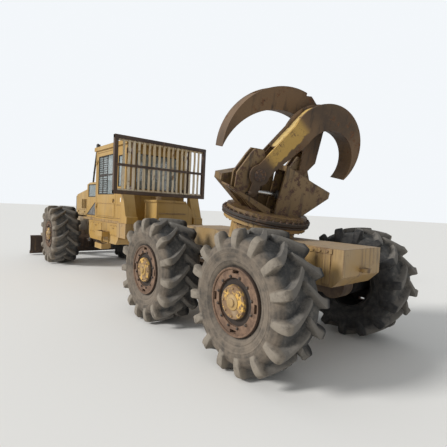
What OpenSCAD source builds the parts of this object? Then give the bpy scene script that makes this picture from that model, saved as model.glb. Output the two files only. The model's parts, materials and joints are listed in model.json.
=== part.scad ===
// Six-wheel grapple skidder: an articulated carrier with an upturned grapple on a turntable.
// Lengths in millimetres. +X is forward, +Y is the machine's left, +Z is up.
// X is measured from the rear-most axle in the modules, and shifted to the middle at the end.

/* [Wheels] */
// Radius of a rear tyre over its lugs
rear_tyre_r = 920; // [890:5:940]
// Radius of a front tyre over its lugs
front_tyre_r = 950; // [920:5:975]
// Width of a rear tyre
rear_tyre_w = 800; // [760:5:820]
// Width of a front tyre
front_tyre_w = 850; // [800:5:870]
// Half the width over the tyres
tyre_outer_y = 1670; // [1660:5:1720]
// Radius of the rim where the tyre's beads sit
bead_r = 435; // [420:5:450]
// Height of a tyre lug
lug_h = 55; // [40:1:70]
// Radius of the wheel spindles
spindle_r = 120; // [100:5:140]

/* [Layout] */
// Distance between the two axles of the rear bogie
bogie_spacing = 2400; // [2300:10:2600]
// From the middle axle forward to the frame hinge
hinge_ahead = 1350; // [1300:10:1450]
// From the frame hinge forward to the front axle
front_axle_ahead = 5550; // [5450:10:5700]
// Height of the moldboard's foot above the ground
blade_foot_z = 50; // [20:5:90]

/* [Frames] */
// Half the width of both frames over their side plates
frame_half_w = 480; // [460:5:500]
// Thickness of the side plates and hinge plates
plate_t = 60; // [50:5:70]
// Underside of the front frame
chassis_z = 950; // [930:5:980]
// Top of the front frame's deck
deck_z = 1600; // [1580:5:1640]
// Radius of the hinge pins
hinge_pin_r = 70; // [55:5:80]
// Radius of the hinge plates round their pin
hinge_lug_r = 190; // [170:5:210]

/* [Cab] */
// Half the width of the cab
cab_half_w = 850; // [820:10:880]
// Length of the cab
cab_len = 2150; // [2100:10:2250]
// From the frame hinge forward to the cab's rear wall
cab_ahead = 1250; // [1200:10:1300]
// Height of the cab from its floor to the roof panel
cab_h = 1950; // [1900:10:2000]
// Thickness of the cab's walls
cab_wall = 50; // [40:2:60]
// Thickness of the roof panel
roof_t = 110; // [80:5:140]
// Length of a door
door_len = 1400; // [1300:10:1450]

/* [Guard] */
// Half the width of the slatted guard
guard_half_w = 1305; // [1250:5:1350]
// Height of the slatted guard
guard_h = 1380; // [1300:10:1450]
// Underside of the slatted guard
guard_z = 2290; // [2250:5:2330]
// Number of slats in the guard
slat_count = 17; // [13:1:19]

/* [Engine bay] */
// Half the width of the hood
hood_half_w = 500; // [470:5:520]
// Height of the hood's rear edge above the ground
hood_rear_z = 2620; // [2580:10:2660]
// Height of the hood's front edge above the ground
hood_front_z = 2330; // [2280:10:2400]

/* [Turntable] */
// Radius of the turntable's upper ring
ring_r = 775; // [750:5:800]
// Height of the upper ring's top face at its centre
ring_z = 2030; // [2010:5:2060]
// Lean of the turntable to the rear, in degrees
ring_lean = 13; // [10:0.5:15]
// Angle the grapple is parked at about the turntable, in degrees
parked_swing = -18; // [-25:1:0]

/* [Grapple] */
// Width of a grapple arm
arm_w = 340; // [320:5:350]
// Gap between the two arms where they cross
arm_gap = 80; // [60:5:100]
// Thickness of an arm's fork plates
fork_t = 40; // [30:2:45]
// Thickness of the ears that carry an arm's pin
ear_t = 50; // [40:2:55]
// Radius of the arm pins
arm_pin_r = 60; // [50:2:70]

/* [Blade] */
// Half the width of the blade
blade_half_w = 1780; // [1730:10:1800]
// Height of the blade
blade_h = 680; // [640:10:720]
// Thickness of the blade's moldboard
blade_t = 40; // [30:2:50]

/* [Hidden] */

$fn = 64;

// Clearances: round a pin, between faces that seat, and between pieces that pass each other
fit = 0.3;
pass = 8;

// Colours
paint = [0.83, 0.62, 0.18];
dusty_paint = [0.66, 0.55, 0.40];
rusty_steel = [0.30, 0.22, 0.17];
dark_steel = [0.24, 0.21, 0.19];
bright_rod = [0.62, 0.62, 0.62];
tyre_grey = [0.33, 0.32, 0.31];
rim_brown = [0.45, 0.34, 0.25];

// Where the main things stand along the machine
hinge_x = bogie_spacing + hinge_ahead;
front_axle_x = hinge_x + front_axle_ahead;
bogie_x = bogie_spacing/2;
cab_rear_x = hinge_x + cab_ahead;
cab_front_x = cab_rear_x + cab_len;
frame_rear_x = hinge_x + 1100;
frame_front_x = front_axle_x + 1150;
cowl_front_x = cab_front_x + 1050;
hood_front_x = frame_front_x - 350;
guard_x = cab_rear_x - 340;
guard_depth = 100;
blade_pivot = [front_axle_x + 700, deck_z - 600];
blade_reach = 1400;
blade_front_x = blade_pivot.x + blade_reach;
mid_x = (blade_front_x - rear_tyre_r)/2;

// A straight bar between two points
module bar(p, q, r) {
    d = q - p;
    translate(p)
        rotate([0, acos(d.z/norm(d)), atan2(d.y, d.x)])
            cylinder(h = norm(d), r = r);
}

// A block given by its lowest and highest corners
module block(low, high) {
    translate(low) cube(high - low);
}

// The same thing on the machine's left and right sides
module both_sides() {
    children();
    mirror([0, 1, 0]) children();
}

// A side view, given as X and Z, made thick from one Y to another
module side_plate(y0, y1) {
    translate([0, y1, 0]) rotate([90, 0, 0]) linear_extrude(y1 - y0) children();
}

// Cylinder barrel: pinned at the origin, its mouth towards +X, its pin along Z
module ram_barrel(ram) {
    difference() {
        union() {
            cylinder(h = ram[4], r = ram[3], center = true);
            rotate([0, 90, 0]) cylinder(h = ram[0], r = ram[2]);
            translate([ram[0] - 50, 0, 0]) rotate([0, 90, 0]) cylinder(h = 50, r = ram[2] + 8);
        }
        cylinder(h = 2*ram[3], r = ram[5] + fit, center = true);
        translate([ram[3] + 15, 0, 0]) rotate([0, 90, 0]) cylinder(h = ram[0], r = ram[6] + fit);
        translate([0, 0, ram[4]/2]) cylinder(h = ram[3], r = ram[3] + 6);
        translate([0, 0, -ram[4]/2 - ram[3]]) cylinder(h = ram[3], r = ram[3] + 6);
    }
}

// Cylinder rod: its eye and pin at the origin, the rod towards -X, its pin along Z
module ram_rod(ram) {
    cylinder(h = ram[4], r = ram[3], center = true);
    rotate([0, -90, 0]) cylinder(h = ram[1], r = ram[6]);
}

// Rams: barrel length, rod length, barrel radius, eye radius, eye width, pin radius, rod radius
steer_ram = [900, 1180, 62, 62, 80, 30, 36];
blade_ram = [600, 660, 55, 55, 70, 28, 32];
arm_ram = [500, 560, 70, 62, 80, 32, 36];

// Steering rams: their pins on the front and rear frames, left side
steer_front = [frame_rear_x - 130, 340];
steer_rear = [hinge_x - 700, 420];
steer_z = chassis_z + 200;
steer_dir = atan2(steer_rear.y - steer_front.y, steer_rear.x - steer_front.x);

// Blade rams: their pins on the front frame and the blade, as X and Z
blade_ram_y = 300;
blade_ram_top = [frame_front_x + 100, deck_z - 150];
blade_ram_foot = [blade_pivot.x + 1080, blade_foot_z + 470];
blade_lug_t = 24;
blade_lug_y = blade_ram[4]/2 + fit + blade_lug_t/2;
blade_ram_dir = atan2(blade_ram_foot.y - blade_ram_top.y, blade_ram_foot.x - blade_ram_top.x);

// Front frame: side plates, deck, cross walls, hinge plates and brackets
module front_chassis() {
    color(dusty_paint) difference() {
        union() {
            both_sides() {
                block([frame_rear_x, frame_half_w - plate_t, chassis_z], [frame_front_x, frame_half_w, deck_z - plate_t]);
                block([frame_rear_x - 450, frame_half_w - 50, deck_z - 350], [frame_rear_x + 50, 1100, deck_z]);
                for (x = [cowl_front_x + 450, hood_front_x - 600])
                    block([x, 230, engine_z - 80], [x + 120, frame_half_w - 20, engine_z]);
                block([front_axle_x - 300, 250, chassis_z], [front_axle_x + 300, frame_half_w, chassis_z + 160]);
                blade_hanger();
                translate([steer_front.x, steer_front.y, 0]) {
                    steer_lugs(frame_rear_x - steer_front.x);
                    translate([0, 0, steer_z]) cylinder(h = steer_ram[4] + 40, r = steer_ram[5], center = true);
                }
            }
            block([frame_rear_x - 50, -cab_half_w, deck_z - plate_t], [cowl_front_x, cab_half_w, deck_z]);
            block([frame_rear_x, -frame_half_w, chassis_z], [frame_rear_x + plate_t, frame_half_w, deck_z]);
            block([frame_rear_x, -frame_half_w, chassis_z], [front_axle_x - 500, frame_half_w, chassis_z + plate_t/2]);
            block([frame_front_x - plate_t, -frame_half_w, chassis_z], [frame_front_x, frame_half_w, deck_z]);
            block([cowl_front_x - plate_t, -frame_half_w, chassis_z + 400], [cowl_front_x, frame_half_w, deck_z]);
            for (z = [chassis_z, deck_z - plate_t]) hinge_plate(z, frame_rear_x + 50);
        }
        translate([hinge_x, 0, chassis_z - 1]) cylinder(h = deck_z, r = hinge_pin_r + fit);
        translate([front_axle_x, -frame_half_w - 1, front_tyre_r])
            rotate([-90, 0, 0]) cylinder(h = 2*frame_half_w + 2, r = axle_tube_r + fit);
    }
}

axle_tube_r = 140;
engine_z = 1260;

// One plate of the front frame's half of the hinge
module hinge_plate(z, x_end) {
    translate([hinge_x, 0, z]) cylinder(h = plate_t, r = hinge_lug_r);
    translate([0, 0, z]) linear_extrude(plate_t)
        polygon([
            [hinge_x, -hinge_lug_r], [x_end, -frame_half_w + plate_t],
            [x_end, frame_half_w - plate_t], [hinge_x, hinge_lug_r]
        ]);
}

// Two lugs of a steering ram, joined to the wall that lies a given way ahead of its pin
module steer_lugs(wall) {
    lug_t = 30;
    for (s = [-1, 1]) translate([0, 0, steer_z + s*(steer_ram[4]/2 + fit + lug_t/2)]) {
        cylinder(h = lug_t, r = steer_ram[3], center = true);
        translate([0, -steer_ram[3], -lug_t/2]) cube([wall, 2*steer_ram[3], lug_t]);
    }
}

// The blade's pivot pin and its ram's bracket, left side
module blade_hanger() {
    translate([blade_pivot.x, frame_half_w - plate_t, blade_pivot.y])
        rotate([-90, 0, 0]) cylinder(h = plate_t + 160, r = 50);
    for (s = [-1, 1]) translate([blade_ram_top.x, blade_ram_y + s*blade_lug_y, blade_ram_top.y]) {
        rotate([90, 0, 0]) cylinder(h = blade_lug_t, r = blade_ram[3], center = true);
        translate([-100, -blade_lug_t/2, -blade_ram[3]]) cube([100, blade_lug_t, 2*blade_ram[3]]);
    }
    translate([blade_ram_top.x, blade_ram_y, blade_ram_top.y])
        rotate([90, 0, 0]) cylinder(h = blade_ram[4] + 40, r = blade_ram[5], center = true);
}

// Front axle: housing tube, differential and the two spindles
module front_axle() {
    color(rusty_steel) translate([front_axle_x, 0, front_tyre_r]) {
        rotate([-90, 0, 0]) cylinder(h = 2*(tyre_outer_y - front_tyre_w - 60), r = axle_tube_r, center = true);
        sphere(r = 260);
        both_sides() {
            translate([0, tyre_outer_y - front_tyre_w - 130, 0]) rotate([-90, 0, 0]) cylinder(h = 70, r = 230);
            translate([0, tyre_outer_y - front_tyre_w - 60, 0])
                rotate([-90, 0, 0]) cylinder(h = spindle_len(front_tyre_w), r = spindle_r);
        }
    }
}

// How far a spindle reaches past its flange, which is 60 inside the tyre's inner face
function spindle_len(tyre_w) = tyre_w - 120;

module engine_block() {
    color(dark_steel) block([cowl_front_x + 300, -280, engine_z], [hood_front_x - 400, 280, engine_z + 840]);
}

// Hood: a shell that is open below and ahead
module hood() {
    wall = 40;
    color(paint) difference() {
        side_plate(-hood_half_w, hood_half_w) hood_side(0);
        side_plate(wall - hood_half_w, hood_half_w - wall) hood_side(wall);
        for (i = [0:5]) block([cowl_front_x + 350 + i*170, -hood_half_w - 1, 1850], [cowl_front_x + 430 + i*170, hood_half_w + 1, 2150]);
    }
}

// The hood's side view, drawn in by a wall's thickness
module hood_side(wall) {
    front = hood_front_x + (wall > 0 ? 1 : 0);
    low = deck_z - (wall > 0 ? 1 : 0);
    polygon([
        [cowl_front_x + wall, low], [front, low], [front, hood_front_z - wall - 60],
        [hood_front_x - 90, hood_front_z - wall], [cowl_front_x + wall, hood_rear_z - wall]
    ]);
}

// Grille: a frame with upright bars, in front of the hood
module grille() {
    x = [hood_front_x, hood_front_x + 50];
    color(dark_steel) difference() {
        block([x[0], -hood_half_w, deck_z], [x[1], hood_half_w, hood_front_z - 60]);
        for (i = [0:9]) translate([x[0] - 1, -hood_half_w + 60 + i*89, deck_z + 60])
            cube([52, 60, hood_front_z - deck_z - 180]);
    }
}

// Cowl between the cab and the hood, with an opening in each side
module cowl() {
    wall = 40;
    top = hood_rear_z + 60;
    color(paint) difference() {
        block([cab_front_x, -cab_half_w + 100, deck_z], [cowl_front_x, cab_half_w - 100, top]);
        block([cab_front_x - 1, -cab_half_w + 100 + wall, deck_z - 1], [cowl_front_x - wall, cab_half_w - 100 - wall, top - wall]);
        block([cab_front_x + 150, -cab_half_w, 2230], [cowl_front_x - 120, cab_half_w, 2620]);
        side_plate(-cab_half_w, cab_half_w) polygon([[cowl_front_x - 250, top + 1], [cowl_front_x + 1, top + 1], [cowl_front_x + 1, top - 60]]);
    }
}

// Where the doors and windows lie in the cab's side
door_x = [cab_front_x - 100 - door_len, cab_front_x - 100];
door_z = [deck_z + 60, deck_z + cab_h - 70];
door_hinge = [door_x[1], cab_half_w + 16];
door_hinge_z = [door_z[0] + 250, door_z[1] - 310];

// Cab: floor, walls and pillars, with its windows and doorways cut
module cab_body() {
    color(paint) {
        difference() {
            block([cab_rear_x, -cab_half_w, deck_z], [cab_front_x, cab_half_w, deck_z + cab_h]);
            block([cab_rear_x + cab_wall, cab_wall - cab_half_w, deck_z + cab_wall], [cab_front_x - cab_wall, cab_half_w - cab_wall, deck_z + cab_h + 1]);
            block([door_x[0] - pass, -cab_half_w - 1, door_z[0] - pass], [door_x[1] + pass, cab_half_w + 1, door_z[1] + pass]);
            block([cab_rear_x + 120, -cab_half_w - 1, 2500], [door_x[0] - 130, cab_half_w + 1, 3300]);
            block([cab_rear_x - 1, -600, 2450], [cab_rear_x + cab_wall + 1, 600, 3350]);
            block([cab_front_x - cab_wall - 1, -680, 2740], [cab_front_x + 1, 680, 3420]);
        }
        both_sides() for (z = door_hinge_z) {
            translate([door_hinge.x, door_hinge.y, z]) cylinder(h = 50, r = 14);
            block([door_hinge.x + pass + 2, cab_half_w - 1, z], [door_hinge.x + 60, door_hinge.y + 10, z + 50]);
            block([door_hinge.x, door_hinge.y - 6, z], [door_hinge.x + 20, door_hinge.y + 6, z + 50]);
        }
    }
}

module cab_roof() {
    color(paint) block([cab_rear_x - 60, -cab_half_w - 40, deck_z + cab_h], [cab_front_x + 60, cab_half_w + 40, deck_z + cab_h + roof_t]);
}

// Seat on its box, and the console beside it
module cab_interior() {
    floor_z = deck_z + cab_wall;
    color(dark_steel) {
        block([cab_rear_x + 500, -250, floor_z], [cab_rear_x + 1000, 250, floor_z + 350]);
        block([cab_rear_x + 480, -270, floor_z + 350], [cab_rear_x + 1020, 270, floor_z + 480]);
        block([cab_rear_x + 400, -260, floor_z + 350], [cab_rear_x + 520, 260, floor_z + 1050]);
        block([cab_front_x - 420, -400, floor_z], [cab_front_x - 150, 400, floor_z + 780]);
    }
}

// A door, left side: panel with its window cut and two hinge knuckles
module door() {
    color(paint) {
        difference() {
            block([door_x[0], cab_half_w - cab_wall, door_z[0]], [door_x[1], cab_half_w, door_z[1]]);
            block([door_x[0] + 110, cab_half_w - cab_wall - 1, door_z[0] + 640], [door_x[1] - 110, cab_half_w + 1, door_z[1] - 100]);
            block([door_x[0] + 60, cab_half_w - 25, door_z[0] + 420], [door_x[0] + 200, cab_half_w + 1, door_z[0] + 520]);
        }
        for (z = door_hinge_z) {
            translate([door_hinge.x, door_hinge.y, z + 50 + fit]) cylinder(h = 60, r = 14);
            block([door_hinge.x - 60, cab_half_w - 1, z + 50 + fit], [door_hinge.x, door_hinge.y + 6, z + 110 + fit]);
        }
    }
}

// Bars from the roof's front corners down over the cowl to the hood
module limb_risers() {
    r = 28;
    roof_z = deck_z + cab_h + roof_t;
    color(dark_steel) both_sides() {
        top = [cab_front_x + 20, cab_half_w - 40, roof_z + r + 75];
        bend = [cab_front_x + 1000, 560, 3020];
        foot = [cowl_front_x + 500, 400, hood_rear_z + 60];
        bar(top, bend, r);
        translate(bend) sphere(r = r + 6);
        bar(bend, foot, r);
        translate(foot) sphere(r = r + 6);
        translate(top) sphere(r = r + 6);
        block([top.x - 100, top.y - 40, roof_z], [top.x + 20, top.y + 40, top.z]);
        bar(foot, [foot.x, foot.y, hood_rear_z - 60], r);
    }
}

// Slatted guard behind the cab, on struts from the cab's rear wall
module guard() {
    rail = 90;
    mid_z = guard_z + guard_h/2;
    inner = 2*(guard_half_w - rail);
    pitch = inner/(slat_count + 1);
    color(rusty_steel) translate([guard_x, 0, 0]) {
        for (z = [guard_z, mid_z - rail/2, guard_z + guard_h - rail])
            translate([0, -guard_half_w, z]) cube([guard_depth, 2*guard_half_w, rail]);
        both_sides() {
            translate([0, guard_half_w - rail, guard_z]) cube([guard_depth, rail, guard_h]);
            block([50, cab_half_w - 100, guard_z + rail/2], [guard_depth, cab_half_w - 20, guard_z + guard_h - rail/2]);
            for (z = [guard_z + 120, guard_z + guard_h - 330]) {
                block([guard_depth - 1, cab_half_w - 100, z], [cab_rear_x - guard_x, cab_half_w - 20, z + 80]);
                block([cab_rear_x - guard_x - 20, cab_half_w - 130, z - 30], [cab_rear_x - guard_x, cab_half_w, z + 110]);
            }
        }
        for (i = [1:slat_count])
            translate([20, -guard_half_w + rail + i*pitch - 22, guard_z + rail/2]) cube([25, 44, guard_h - rail]);
    }
}

// Towers on the front frame's outriggers that carry the guard's lower rail
module guard_towers() {
    foot = frame_rear_x - 450;
    color(paint) both_sides() {
        side_plate(800, 1080) polygon([
            [foot, deck_z], [frame_rear_x - 20, deck_z], [guard_x + guard_depth, deck_z + 60],
            [guard_x + guard_depth, guard_z], [guard_x - 20, guard_z], [foot + 60, deck_z + 180], [foot, deck_z + 150]
        ]);
    }
}

// Tank across the rear of the front frame, its upper right corner cut off
module rear_tank() {
    x = [guard_x - 610, guard_x - 10];
    color(paint) difference() {
        union() {
            block([x[0], -500, deck_z], [x[1], 500, deck_z + 540]);
            block([x[0] - 30, -530, deck_z + 540], [x[1], 530, deck_z + 590]);
        }
        translate([x[0] - 31, -540, deck_z + 600]) rotate([45, 0, 0]) translate([0, -200, -200]) cube([800, 400, 400]);
    }
}

// Box on each side below the cab, with two steps on a pair of hangers
module side_boxes() {
    x = [cab_rear_x + 250, cab_front_x + 300];
    wall_y = cab_half_w + 60;
    step_x = [door_x[0] + 200, door_x[0] + 700];
    step_h = 140;
    step_out = 200;
    step_wall = 30;
    low_z = chassis_z - 110;
    high_z = chassis_z + 220;
    color(paint) both_sides() {
        side_plate(frame_half_w, wall_y) polygon([
            [x[0], chassis_z + 200], [x[0] + 150, chassis_z + 50], [x[1] - 120, chassis_z + 50],
            [x[1], chassis_z + 200], [x[1], deck_z - plate_t], [x[0], deck_z - plate_t]
        ]);
        for (z = [low_z, high_z]) difference() {
            block([step_x[0], wall_y - 10, z], [step_x[1], wall_y + step_out, z + step_h]);
            block([step_x[0] + step_wall, wall_y + step_wall, z + 40],
                [step_x[1] - step_wall, wall_y + step_out - step_wall, z + step_h + 1]);
        }
        for (x0 = [step_x[0], step_x[1] - step_wall])
            block([x0, wall_y - 50, low_z + 20], [x0 + step_wall, wall_y + step_wall, high_z + 20]);
    }
}

// Blade: curved moldboard, two push arms and the ears of its rams
module blade() {
    curve_r = 900;
    foot = [blade_front_x, blade_foot_z];
    color(rusty_steel) {
        side_plate(-blade_half_w, blade_half_w) {
            intersection() {
                translate([foot.x - 190, foot.y]) square([190, blade_h]);
                translate([foot.x + curve_r - 160, foot.y + blade_h*0.55]) difference() {
                    circle(r = curve_r + blade_t, $fn = 128);
                    circle(r = curve_r, $fn = 128);
                }
            }
            polygon([
                [foot.x - 125, foot.y], [foot.x, foot.y], [foot.x, foot.y + 25], [foot.x - 60, foot.y + 120],
                [foot.x - 165, foot.y + 120]
            ]);
        }
        both_sides() {
            difference() {
                side_plate(frame_half_w + 20, frame_half_w + 120) {
                    translate(blade_pivot) circle(r = 110);
                    polygon([
                        blade_pivot + [-60, -90], blade_pivot + [60, 90], [foot.x - 165, foot.y + 520],
                        [foot.x - 165, foot.y + 150]
                    ]);
                }
                translate([blade_pivot.x, 0, blade_pivot.y]) rotate([-90, 0, 0]) cylinder(h = 1000, r = 50 + fit);
            }
            for (s = [-1, 1]) translate([0, blade_ram_y + s*blade_lug_y, 0])
                side_plate(-blade_lug_t/2, blade_lug_t/2) {
                    translate(blade_ram_foot) circle(r = blade_ram[3]);
                    polygon([
                        blade_ram_foot + [0, -blade_ram[3]], [foot.x - 180, blade_ram_foot.y - 90],
                        [foot.x - 180, blade_ram_foot.y + 90], blade_ram_foot + [0, blade_ram[3]]
                    ]);
                }
        }
    }
}

module blade_barrels() {
    color(paint) both_sides() translate([blade_ram_top.x, blade_ram_y, blade_ram_top.y])
        rotate([90, 0, 0]) rotate([0, 0, blade_ram_dir]) ram_barrel(blade_ram);
}

module blade_rods() {
    color(bright_rod) both_sides() translate([blade_ram_foot.x, blade_ram_y, blade_ram_foot.y])
        rotate([90, 0, 0]) rotate([0, 0, blade_ram_dir]) ram_rod(blade_ram);
}

module steer_barrel() {
    color(paint) translate([steer_front.x, steer_front.y, steer_z]) rotate([0, 0, steer_dir]) ram_barrel(steer_ram);
}

module steer_rod() {
    color(bright_rod) translate([steer_rear.x, steer_rear.y, steer_z]) rotate([0, 0, steer_dir]) ram_rod(steer_ram);
}

// Rear frame: box with its nose and hinge plates, ram brackets and the turntable's pedestal
nose_x = hinge_x - 900;
rear_deck_z = 1680;
rear_belly_z = 1100;
rear_end_x = -780;
tow_z = 1300;
tow_eye_t = 50;
tow_eye_r = 30;
tie_hole_r = 35;
tie_hole = [nose_x - 160, rear_deck_z - 130];

module rear_frame() {
    low_plate_z = chassis_z + plate_t + 5;
    high_plate_z = deck_z - 2*plate_t - 5;
    color(dusty_paint) difference() {
        union() {
            side_plate(-frame_half_w, frame_half_w) polygon([
                [rear_end_x, rear_belly_z + 150], [rear_end_x + 150, rear_belly_z], [nose_x - 400, rear_belly_z],
                [nose_x - 200, low_plate_z], [nose_x, low_plate_z], [nose_x, rear_deck_z], [bogie_x + 650, rear_deck_z],
                [bogie_x + 450, rear_deck_z - 70], [rear_end_x, rear_deck_z - 70]
            ]);
            for (z = [low_plate_z, high_plate_z]) {
                translate([hinge_x, 0, z]) cylinder(h = plate_t, r = hinge_lug_r);
                translate([nose_x - 10, 0, z]) linear_extrude(plate_t) polygon([
                    [0, -330], [hinge_x - nose_x, -hinge_lug_r], [hinge_x - nose_x, hinge_lug_r], [0, 330]
                ]);
            }
            both_sides() translate([steer_rear.x, steer_rear.y, 0]) mirror([1, 0, 0]) steer_lugs(steer_rear.x - nose_x + 5);
            at_ring() translate([0, 0, -ring_t - fit]) mirror([0, 0, 1]) {
                cylinder(h = 65, r = ring_r - 50);
                cylinder(h = 560, r = ring_r - 210);
            }
            translate([rear_end_x + 1, 0, tow_z]) rotate([0, 0, 180]) tow_eye();
        }
        translate([hinge_x, 0, low_plate_z - 1]) cylinder(h = deck_z, r = hinge_pin_r + fit);
        both_sides() translate([tie_hole.x, frame_half_w - plate_t, tie_hole.y])
            rotate([-90, 0, 0]) cylinder(h = plate_t + 1, r = tie_hole_r);
    }
}

// Towing eye on the rear wall, its plate towards +X
module tow_eye() {
    difference() {
        union() {
            translate([20, -80, 0]) mirror([1, 0, 0]) cube([22, 160, tow_eye_t]);
            translate([0, -70, 0]) cube([50, 140, tow_eye_t]);
            translate([50, 0, 0]) cylinder(h = tow_eye_t, r = 70);
        }
        translate([50, 0, -1]) cylinder(h = tow_eye_t + 2, r = tow_eye_r);
    }
}

// The two pins of the frame hinge
module hinge_pins() {
    color(dark_steel) translate([hinge_x, 0, 0]) {
        translate([0, 0, chassis_z - 20]) cylinder(h = 2*plate_t + 35, r = hinge_pin_r);
        translate([0, 0, deck_z - 2*plate_t - 15]) cylinder(h = 2*plate_t + 15, r = hinge_pin_r);
    }
}

// Cross axle of the bogie, with its differential under the rear frame
beam_y = [510, 780];

module bogie_axle() {
    color(rusty_steel) translate([bogie_x, 0, rear_tyre_r]) {
        rotate([90, 0, 0]) cylinder(h = 2*beam_y[0], r = 165, center = true);
        block([-300, -330, -230], [300, 330, rear_belly_z - rear_tyre_r]);
    }
}

// Walking beams of the bogie, with the spindles of the rear wheels
module bogie_beams() {
    flange = tyre_outer_y - rear_tyre_w - 60;
    color(rusty_steel) both_sides() {
        side_plate(beam_y[0], beam_y[1]) {
            for (x = [0, bogie_spacing]) translate([x, rear_tyre_r]) circle(r = 230);
            translate([bogie_x, rear_tyre_r]) circle(r = 270);
            translate([0, rear_tyre_r - 170]) square([bogie_spacing, 340]);
        }
        for (x = [0, bogie_spacing]) translate([x, 0, rear_tyre_r]) {
            translate([0, beam_y[1] - 1, 0]) rotate([-90, 0, 0]) cylinder(h = flange - beam_y[1] + 1, r = 200);
            translate([0, flange - 1, 0]) rotate([-90, 0, 0]) cylinder(h = spindle_len(rear_tyre_w) + 1, r = spindle_r);
        }
    }
}

// The turntable's frame: leans to the rear about the ring's centre
ring_x = bogie_x - 150;
ring_t = 100;

module at_ring() {
    translate([ring_x, 0, ring_z]) rotate([0, -ring_lean, 0]) children();
}

// The grapple's frame: X across the arms' planes, Y to the left wing, Z up from the ring
module at_bunk() {
    at_ring() rotate([0, 0, parked_swing]) children();
}

// A view given as Y and Z in the grapple's frame, made thick along its X
module bunk_plate(x0, x1) {
    translate([x0, 0, 0]) rotate([90, 0, 90]) linear_extrude(x1 - x0) children();
}

module turntable_ring() {
    color(rusty_steel) at_ring() translate([0, 0, -ring_t]) cylinder(h = ring_t, r = ring_r, $fn = 96);
}

// Grapple: an arm's hinge and the pin of its ram's lever, in Y and Z of the grapple's frame
arm_hinge = [460, 640];
lever_r = 280;
lever_angle = -80;
lever_pin = arm_hinge + lever_r*[cos(lever_angle), sin(lever_angle)];
ram_anchor = [-500, 360];
// Where the floor plates end, in the near and the far half
floor_ends = [940, 690];
arm_ram_dir = atan2(lever_pin.y - ram_anchor.y, lever_pin.x - ram_anchor.x);
arm_x = [-arm_gap/2 - arm_w, -arm_gap/2];
arm_mid_x = (arm_x[0] + arm_x[1])/2;

// One half of the bunk: the wing that an arm closes on, the ears that carry its pin,
// and the sloping floor plate, which ends a given way out
module bunk_half(floor_end) {
    wall = 35;
    floor_low = [240, 50];
    floor_high = [140, 130];
    difference() {
        bunk_plate(arm_x[0], arm_x[1]) wing_side(0);
        bunk_plate(arm_x[0] + wall, arm_x[1] - wall) wing_side(wall);
    }
    for (s = [-1, 1]) translate([arm_mid_x + s*(ear_t/2 + 52), 0, 0]) bunk_plate(-ear_t/2, ear_t/2) ear_side();
    bunk_plate(arm_x[0], arm_x[1]) polygon([
        [floor_high.x, floor_low.y], floor_low, [floor_end, floor_low.y + 0.5*(floor_end - floor_low.x)],
        [floor_end, floor_high.y + 0.375*(floor_end - floor_high.x)], floor_high
    ]);
    translate([arm_x[0] + fork_t - 34, arm_hinge.x, arm_hinge.y]) rotate([0, 90, 0]) cylinder(h = arm_w - 2*fork_t + 68, r = arm_pin_r);
    translate([arm_x[0] + 10, ram_anchor.x, ram_anchor.y]) rotate([0, 90, 0]) cylinder(h = arm_w - 20, r = arm_ram[5]);
}

// Side view of a wing, drawn in by a wall's thickness
module wing_side(wall) {
    polygon([
        [60 + (wall > 0 ? 200 : 0), 50 + wall], [0 + (wall > 0 ? 200 : 0), 860 - wall], [-550, 665 - wall], [-930 + wall, 545 - wall],
        [-930 + wall, 440 + wall/2], [-620, 190 + wall], [-450, 50 + wall]
    ]);
}

// Side view of the ears round an arm's hinge
module ear_side() {
    polygon([
        [230, 60], [400, 60], [810, 400], [820, 630], [650, 950], [590, 1040], [450, 1040], [330, 800], [310, 620],
        [460, 505], [625, 330], [520, 235], [300, 110]
    ]);
    translate(arm_hinge) circle(r = 150);
}

module bunk() {
    color(rusty_steel) at_bunk() {
        bunk_half(floor_ends[0]);
        rotate([0, 0, 180]) bunk_half(floor_ends[1]);
        cylinder(h = 60, r = ring_r - 70, $fn = 96);
    }
}

// Arms: outer circle's centre and radius, inner circle's centre and radius, the stem's outline,
// the outline that bounds the hook, and the outline cut away inside the stem
near_arm = [
    [-630, 1260], 690, [-720, 1070], 480,
    [[570, 710], [-200, 1800], [-450, 1600], [-280, 1260], [220, 730], [340, 560]],
    [[-1400, 800], [-1400, 2100], [100, 2100], [100, 800]],
    [[210, 720], [-275, 1265], [-720, 1070], [-720, 500], [210, 500]]
];
far_arm = [
    [60, 1040], 1070, [-30, 710], 1010,
    [[590, 720], [790, 980], [800, 1560], [620, 1880], [400, 2050], [0, 2000], [500, 1500], [500, 1100], [330, 640]],
    [[-1400, 820], [-1400, 2300], [300, 2300], [300, 820]],
    [[300, 500], [300, 640], [500, 1060], [500, 1450], [300, 1600], [-1000, 500]]
];

module arm_side(arm) {
    difference() {
        union() {
            intersection() {
                translate(arm[0]) circle(r = arm[1], $fn = 128);
                polygon(arm[5]);
            }
            polygon(arm[4]);
        }
        intersection() {
            translate(arm[2]) circle(r = arm[3], $fn = 128);
            translate([-2000, 0]) square([2500, 3000]);
        }
        polygon(arm[6]);
    }
}

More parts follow.
